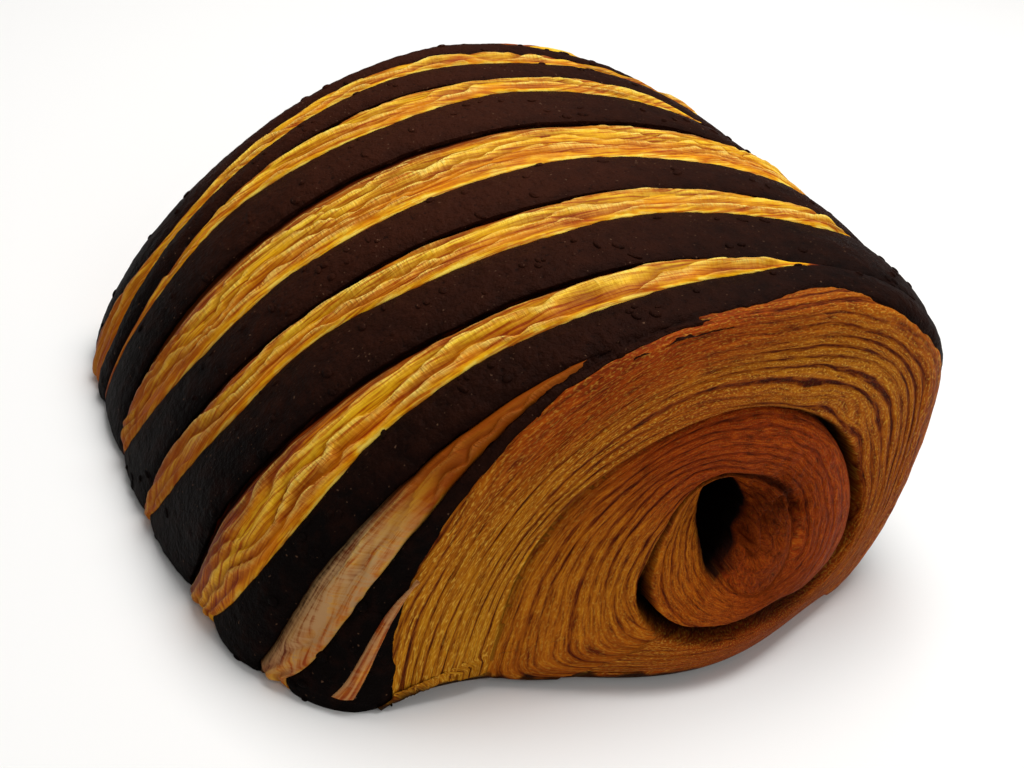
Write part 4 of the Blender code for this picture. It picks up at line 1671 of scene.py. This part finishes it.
def start_tree(name: str, sockets: dict[str, str]) -> tuple[Tree, partial, Node]:
    """Starts a geometry node tree that takes in a mesh and gives back a mesh.

    Args:
        name: The tree's name.
        sockets: The kind of each further input, by name.

    Returns:
        The tree, add_node for it, and its input node.
    """
    tree = bpy.data.node_groups.new(name, "GeometryNodeTree")
    tree.interface.new_socket("Geometry", in_out="INPUT", socket_type="NodeSocketGeometry")
    for socket, kind in sockets.items():
        tree.interface.new_socket(socket, in_out="INPUT", socket_type=f"NodeSocket{kind}")
    tree.interface.new_socket("Geometry", in_out="OUTPUT", socket_type="NodeSocketGeometry")
    return tree, partial(add_node, tree), add_node(tree, "NodeGroupInput")


def finish_tree(add: partial, result: Node, material: bpy.types.NodeSocket) -> None:
    """Ends a geometry node tree with real geometry in its material.

    Args:
        add: add_node for the tree.
        result: The last node that makes geometry.
        material: The input that gives the material.
    """
    real = add("GeometryNodeRealizeInstances", None, {"Geometry": result})
    dressed = add("GeometryNodeSetMaterial", None, {"Geometry": real, "Material": material})
    add("NodeGroupOutput", None, {0: dressed})


@dataclass(frozen=True)
class StripTree:
    """A geometry node tree that thickens an open sheet of dough and roughens its outer face."""

    thickness: float
    roughness_depth: float
    roughness_size: float
    weld: float = 0.001 * MM
    name: str = "thicken_dough_sheet"

    def tree(self) -> Tree:
        """Makes the tree once, for every sheet.

        Returns:
            The tree.
        """
        made = bpy.data.node_groups.get(self.name)
        if made:
            return made
        tree, add, taken = start_tree(self.name, {
            "Thickness": "Float", "Roughness Depth": "Float", "Roughness Size": "Float",
            "Material": "Material"})
        given = taken.outputs
        place, normal = add("GeometryNodeInputPosition"), add("GeometryNodeInputNormal")
        scaled = add("ShaderNodeVectorMath", {"operation": "DIVIDE"}, {0: place, 1: given["Roughness Size"]})
        noise = add("ShaderNodeTexNoise", None, {"Vector": scaled, "Scale": 1.0, "Detail": 2.0})
        height = add("ShaderNodeMath", {"operation": "SUBTRACT"}, {0: noise, 1: 0.5})
        height = add("ShaderNodeMath", {"operation": "MULTIPLY"}, {0: height, 1: given["Roughness Depth"]})
        push = add("ShaderNodeVectorMath", {"operation": "SCALE"}, {0: normal, "Scale": height})
        outer = add("GeometryNodeSetPosition", None, {"Geometry": given["Geometry"], "Offset": push})
        inward = add("ShaderNodeMath", {"operation": "MULTIPLY"}, {0: given["Thickness"], 1: -1.0})
        wall = add("GeometryNodeExtrudeMesh", {"mode": "FACES"}, {
            "Mesh": outer, "Offset Scale": inward, "Individual": False})
        flipped = add("GeometryNodeFlipFaces", None, {"Mesh": wall})
        joined = add("GeometryNodeJoinGeometry")
        for sheet in (outer, flipped):
            tree.links.new(sheet.outputs[0], joined.inputs[0])
        welded = add("GeometryNodeMergeByDistance", None, {"Geometry": joined, "Distance": self.weld})
        finish_tree(add, welded, given["Material"])
        return tree

    def apply(self, piece: Piece, material: Material) -> Piece:
        """Thickens a sheet and leaves it a plain closed mesh.

        Args:
            piece: The object of the open sheet.
            material: The finish of the thickened piece.

        Returns:
            The same object, with its new mesh.
        """
        return bake_nodes(piece, self.name, self.tree(), {
            "Thickness": self.thickness, "Roughness Depth": self.roughness_depth,
            "Roughness Size": self.roughness_size, "Material": material})


@dataclass(frozen=True)
class ScatterTree:
    """A geometry node tree that scatters small squashed lumps over a surface."""

    density: float
    size: float
    flatness: float
    seed: int
    sides: tuple[int, int] = (8, 5)
    least_shape: Triple = (0.45, 0.40, 0.7)
    most_shape: Triple = (1.5, 1.0, 1.1)
    name: str = "scatter_dough_lumps"

    def tree(self) -> Tree:
        """Makes the tree.

        Returns:
            The tree.
        """
        tree, add, taken = start_tree(self.name, {
            "Density": "Float", "Size": "Float", "Flatness": "Float", "Seed": "Int", "Material": "Material"})
        given = taken.outputs
        spread = add("GeometryNodeDistributePointsOnFaces", None, {
            "Mesh": given["Geometry"], "Density": given["Density"], "Seed": given["Seed"]})
        lump = add("GeometryNodeMeshUVSphere", None, {
            "Segments": self.sides[0], "Rings": self.sides[1], "Radius": 0.5})
        wide = add("FunctionNodeRandomValue", {"data_type": "FLOAT_VECTOR"}, {
            0: self.least_shape, 1: self.most_shape, "Seed": given["Seed"]})
        flat = add("ShaderNodeCombineXYZ", None, {0: 1.0, 1: 1.0, 2: given["Flatness"]})
        shape = add("ShaderNodeVectorMath", {"operation": "MULTIPLY"}, {0: wide.outputs[0], 1: flat})
        scale = add("ShaderNodeVectorMath", {"operation": "SCALE"}, {0: shape, "Scale": given["Size"]})
        placed = add("GeometryNodeInstanceOnPoints", None, {
            "Points": spread, "Instance": lump, "Rotation": spread.outputs["Rotation"], "Scale": scale})
        finish_tree(add, placed, given["Material"])
        return tree

    def apply(self, piece: Piece, material: Material) -> Piece:
        """Replaces a surface by the lumps scattered over it.

        Args:
            piece: The object of the surface.
            material: The finish of the lumps.

        Returns:
            The same object, with its new mesh.
        """
        return bake_nodes(piece, self.name, self.tree(), {
            "Density": self.density, "Size": self.size, "Flatness": self.flatness, "Seed": self.seed,
            "Material": material})


@dataclass
class CocoaBlisters:
    """Small low blisters that baking has raised on the cocoa bands."""

    scatter: ScatterTree = ScatterTree(22000.0, 1.5 * MM, 0.36, 7)
    points: list = field(default_factory=list)
    quads: list = field(default_factory=list)
    tones: list = field(default_factory=list)

    def add_sheet(self, points: Array, tones: Array) -> None:
        """Takes in a sheet that blisters may lie on.

        Args:
            points: The sheet's points, of shape (rows, columns, 3).
            tones: The cocoa's tone at each of them.
        """
        self.quads.append(grid_quads(*points.shape[:2]) + sum(len(done) for done in self.points))
        self.points.append(points.reshape(-1, 3))
        self.tones.append(tones.ravel())

    def build(self, material: Material) -> Piece:
        """Builds the blisters over all of the sheets.

        Args:
            material: The cocoa dough's finish.

        Returns:
            The finished piece.
        """
        mesh = bpy.data.meshes.new("cocoa_blisters")
        mesh.from_pydata(np.concatenate(self.points).tolist(), [], np.concatenate(self.quads).tolist())
        write_attributes(mesh, {"cocoa_tone": np.concatenate(self.tones)})
        piece = self.scatter.apply(link("cocoa_blisters", mesh), material)
        ride(piece, Slot.COCOA_DOUGH)
        return piece


@dataclass(frozen=True)
class CocoaBand:
    """One cocoa dough band: a domed strip that wraps the roll from one foot to the other."""

    index: int
    form: RollForm
    edges: Array
    blisters: CocoaBlisters
    rows: int = 16
    start: float = 0.012
    finish: float = 0.985
    first_finish: float = 0.49
    proud: float = 0.12 * MM
    crowning: float = 0.42 * MM
    full_widths: Pair = (0.2 * MM, 4 * MM)
    edge_drop: float = 0.30 * MM
    edge_sharpness: int = 6
    unevenness: float = 0.12 * MM
    uneven_pattern: Triple = (6.0, 2.0, 90.0)
    least_height: float = 0.05 * MM
    bare_rows: int = 2
    # Painted light rises up the band; painted shade darkens it toward the near end, on the right and at its
    # front edge.
    painted_light_heights: Pair = (14 * MM, 47 * MM)
    near_dim: Pair = (0.55, 45 * MM)
    right_dim: Triple = (0.5, -16 * MM, 22 * MM)
    edge_dim: float = 0.25
    shell: StripTree = StripTree(1.9 * MM, 0.34 * MM, 1.5 * MM)

    def heights(self, shares: Array) -> Array:
        """How far the band's face stands over the smooth roll.

        Args:
            shares: The rows' places across the band.

        Returns:
            The height at each row and each column.
        """
        front, back = self.edges
        dome = (1 - (2 * shares - 1) ** 2)[:, None]
        height = (self.proud + self.crowning * dome) * ease(back - front, *self.full_widths)
        height = height - self.edge_drop * (1 - dome) ** self.edge_sharpness
        along, across, seed = self.uneven_pattern
        uneven = grain(self.form.arc() / along, shares[:, None] * across, seed + self.index)
        height = height + self.unevenness * uneven * dome
        return np.concatenate([height, np.zeros((self.rows, self.form.columns_under))], axis=1)

    def tones(self, points: Array, shares: Array) -> Array:
        """How much painted light the cocoa gets: most on the crown, with painted shade toward the near end, on
        the right and at the front edge.

        Args:
            points: The band's points, of shape (rows, columns, 3).
            shares: The rows' places across the band.

        Returns:
            The tone at each point, from 0 to 1.
        """
        x, y, z = points[..., 0], points[..., 1], points[..., 2]
        dim, start, finish = self.right_dim
        right = 1 - dim * ease(x - self.form.crown_shift, start, finish)
        near = 1 - self.near_dim[0] * ease(-y, 0, self.near_dim[1])
        front = 1 - self.edge_dim * (1 - ease(shares, 0, self.edge_dim))
        return ease(z, *self.painted_light_heights) * near * right * front[:, None]

    def build(self, material: Material) -> Piece:
        """Builds the band as a closed strip.

        Args:
            material: The cocoa dough's finish.

        Returns:
            The finished piece, which stands for its CAD node.
        """
        t = self.form.stations()
        finish = self.finish if self.index else self.first_finish
        kept = np.flatnonzero((t >= self.start) & (t <= finish))
        front, back = self.edges
        shares = 0.5 - 0.5 * np.cos(np.linspace(0, math.pi, self.rows))
        smooth = self.form.rows(front + (back - front) * shares[:, None])
        points = (smooth + self.form.normals(smooth) * self.heights(shares)[..., None])[:, kept]
        points[..., 2] = np.maximum(points[..., 2], self.least_height)
        tones = self.tones(points, shares)
        settled = self.form.settled(points.reshape(-1, 3)).reshape(points.shape)
        inner = slice(self.bare_rows, -self.bare_rows)
        self.blisters.add_sheet(settled[inner], tones[inner])
        name = f"cocoa_band_{self.index + 1}"
        sheet = open_sheet(f"baked_{name}", settled, {"cocoa_tone": tones.ravel()})
        piece = self.shell.apply(sheet, material)
        ride(piece, Slot.COCOA_DOUGH, name)
        return piece


@dataclass(frozen=True)
class TornSliver:
    """The thin torn strip of golden crust that lies over the nearest cocoa band at its foot."""

    form: RollForm
    stations: Pair = (0.197, 0.292)
    edge_mm: tuple = ((0.197, -46.6), (0.235, -47.5), (0.292, -48.3))
    width_mm: tuple = ((0.197, 1.9), (0.215, 1.3), (0.250, 0.7), (0.275, 0.4), (0.292, 0.06))
    height: float = 0.62 * MM
    arching: float = 0.4
    rows: int = 5
    pattern: Pair = (1.5, 90.0)
    colours: Pair = (0.68, 0.10)
    tone: float = 0.9
    flour: float = 0.5
    shell: StripTree = StripTree(0.45 * MM, 0.18 * MM, 0.9 * MM)

    def build(self, material: Material) -> Piece:
        """Builds the sliver as a closed thin sheet.

        Args:
            material: The crust's finish.

        Returns:
            The finished piece.
        """
        t, arc = self.form.stations(), self.form.arc()
        kept = np.flatnonzero((t >= self.stations[0]) & (t <= self.stations[1]))
        edge, width = through(t, self.edge_mm) * MM, through(t, self.width_mm) * MM
        shares = np.linspace(0, 1, self.rows)[:, None]
        smooth = self.form.rows(edge + width * shares)
        lift = self.height * (1 + self.arching * np.sin(math.pi * shares))[..., None]
        points = (smooth + self.form.normals(smooth) * lift)[:, kept]
        settled = self.form.settled(points.reshape(-1, 3)).reshape(points.shape)
        along, across = (grid.ravel() for grid in np.broadcast_arrays(arc[kept], shares))
        even = np.ones_like(along)
        piece = self.shell.apply(open_sheet("torn_crust_sliver", settled, {
            "crust_coords": np.stack([along, across * self.pattern[0], self.pattern[1] * even], axis=-1),
            "gap_share": self.colours[0] + self.colours[1] * across,
            "sheets_passed": 0 * even, "sheet_strength": 0 * even,
            "tone": self.tone * even, "floury": self.flour * even, "toast": 0 * even,
        }), material)
        ride(piece, Slot.BAKED_DOUGH)
        return piece


@dataclass(frozen=True)
class Softbox:
    """One soft square light that faces the roll."""

    name: str
    place: Triple
    size: float
    watts: float

    def build(self) -> None:
        """Adds the light to the scene."""
        data = bpy.data.lights.new(self.name, "AREA")
        data.size = self.size
        data.energy = self.watts
        lamp = bpy.data.objects.new(self.name, data)
        lamp.location = self.place
        lamp.rotation_euler = (-Vector(self.place)).to_track_quat("-Z", "Y").to_euler()
        bpy.context.scene.collection.objects.link(lamp)


@dataclass(frozen=True)
class Studio:
    """The plain studio: a pale floor, soft lights and the camera at the photograph's viewing angle."""

    azimuth: float = math.radians(26.99)
    elevation: float = math.radians(30.43)
    roll: float = math.radians(8.91)
    focal_pixels: float = 1606.0
    frame_pixels: float = 1024.0
    sensor: float = 36.0
    distance: float = 248.3 * MM
    target: Triple = (3.33 * MM, -1.01 * MM, 10.13 * MM)
    nearest: float = 10 * MM
    floor_reach: float = 3.0
    softboxes: tuple[Softbox, ...] = (
        Softbox("key_softbox", (0.16, 0.10, 0.62), 0.42, 4.2),
        Softbox("front_fill", (0.05, -0.65, 0.40), 0.5, 1.1),
    )
    surround: str = "#FFFFFF"
    surround_strength: float = 0.22

    def camera(self) -> None:
        """Makes the camera and gives it to the scene."""
        back = Vector((
            -math.sin(self.azimuth) * math.cos(self.elevation),
            -math.cos(self.azimuth) * math.cos(self.elevation),
            math.sin(self.elevation),
        ))
        level = (-back).cross(Vector((0, 0, 1))).normalized()
        upright = level.cross(-back)
        right = level * math.cos(self.roll) + upright * math.sin(self.roll)
        up = upright * math.cos(self.roll) - level * math.sin(self.roll)
        data = bpy.data.cameras.new("photo_angle")
        data.sensor_width = self.sensor
        data.lens = self.focal_pixels / self.frame_pixels * self.sensor
        data.clip_start = self.nearest
        camera = bpy.data.objects.new("photo_angle", data)
        place = Vector(self.target) + back * self.distance
        turned = Matrix((right, up, back)).transposed().to_4x4()
        camera.matrix_world = Matrix.Translation(place) @ turned
        bpy.context.scene.collection.objects.link(camera)
        bpy.context.scene.camera = camera

    def floor(self, finish: FloorFinish) -> None:
        """Lays the floor that the roll rests on.

        Args:
            finish: What the floor is made of.
        """
        reach = self.floor_reach
        mesh = bpy.data.meshes.new("studio_floor")
        corners = [(-reach, -reach, 0), (reach, -reach, 0), (reach, reach, 0), (-reach, reach, 0)]
        mesh.from_pydata(corners, [], [(0, 1, 2, 3)])
        mesh.materials.append(finish.material())
        link("studio_floor", mesh)

    def build(self) -> None:
        """Builds the camera, the floor, the key light, its weak fill and an even pale surround."""
        self.camera()
        self.floor(FloorFinish())
        for softbox in self.softboxes:
            softbox.build()
        world = bpy.data.worlds.new("pale_surround")
        world.use_nodes = True
        surround = world.node_tree.nodes["Background"]
        surround.inputs["Color"].default_value = linear(self.surround)
        surround.inputs["Strength"].default_value = self.surround_strength
        bpy.context.scene.world = world
        bpy.context.scene.view_settings.view_transform = "Standard"


def main() -> None:
    """Builds the pain au chocolat and its studio, piece by piece."""
    logging.basicConfig(level=logging.INFO, format="%(name)s: %(message)s")
    form = RollForm()
    layout = BandLayout()
    Studio().build()
    crust = CrustFinish().material()
    LaminatedRoll(form, layout).build(crust)
    cut_end = CutEndFinish().material()
    SpiralEnd(Side.NEAR, columns=(420, 120), rings=(52, 42, 34, 12)).build(form, layout, cut_end)
    SpiralEnd(Side.FAR, columns=(260, 50), rings=(28, 18, 14, 8)).build(form, layout, cut_end)
    cocoa = CocoaFinish().material()
    blisters = CocoaBlisters()
    for index, edges in enumerate(layout.edges(form)):
        CocoaBand(index, form, edges, blisters).build(cocoa)
    blisters.build(cocoa)
    TornSliver(form).build(crust)


if __name__ == "__main__":
    main()
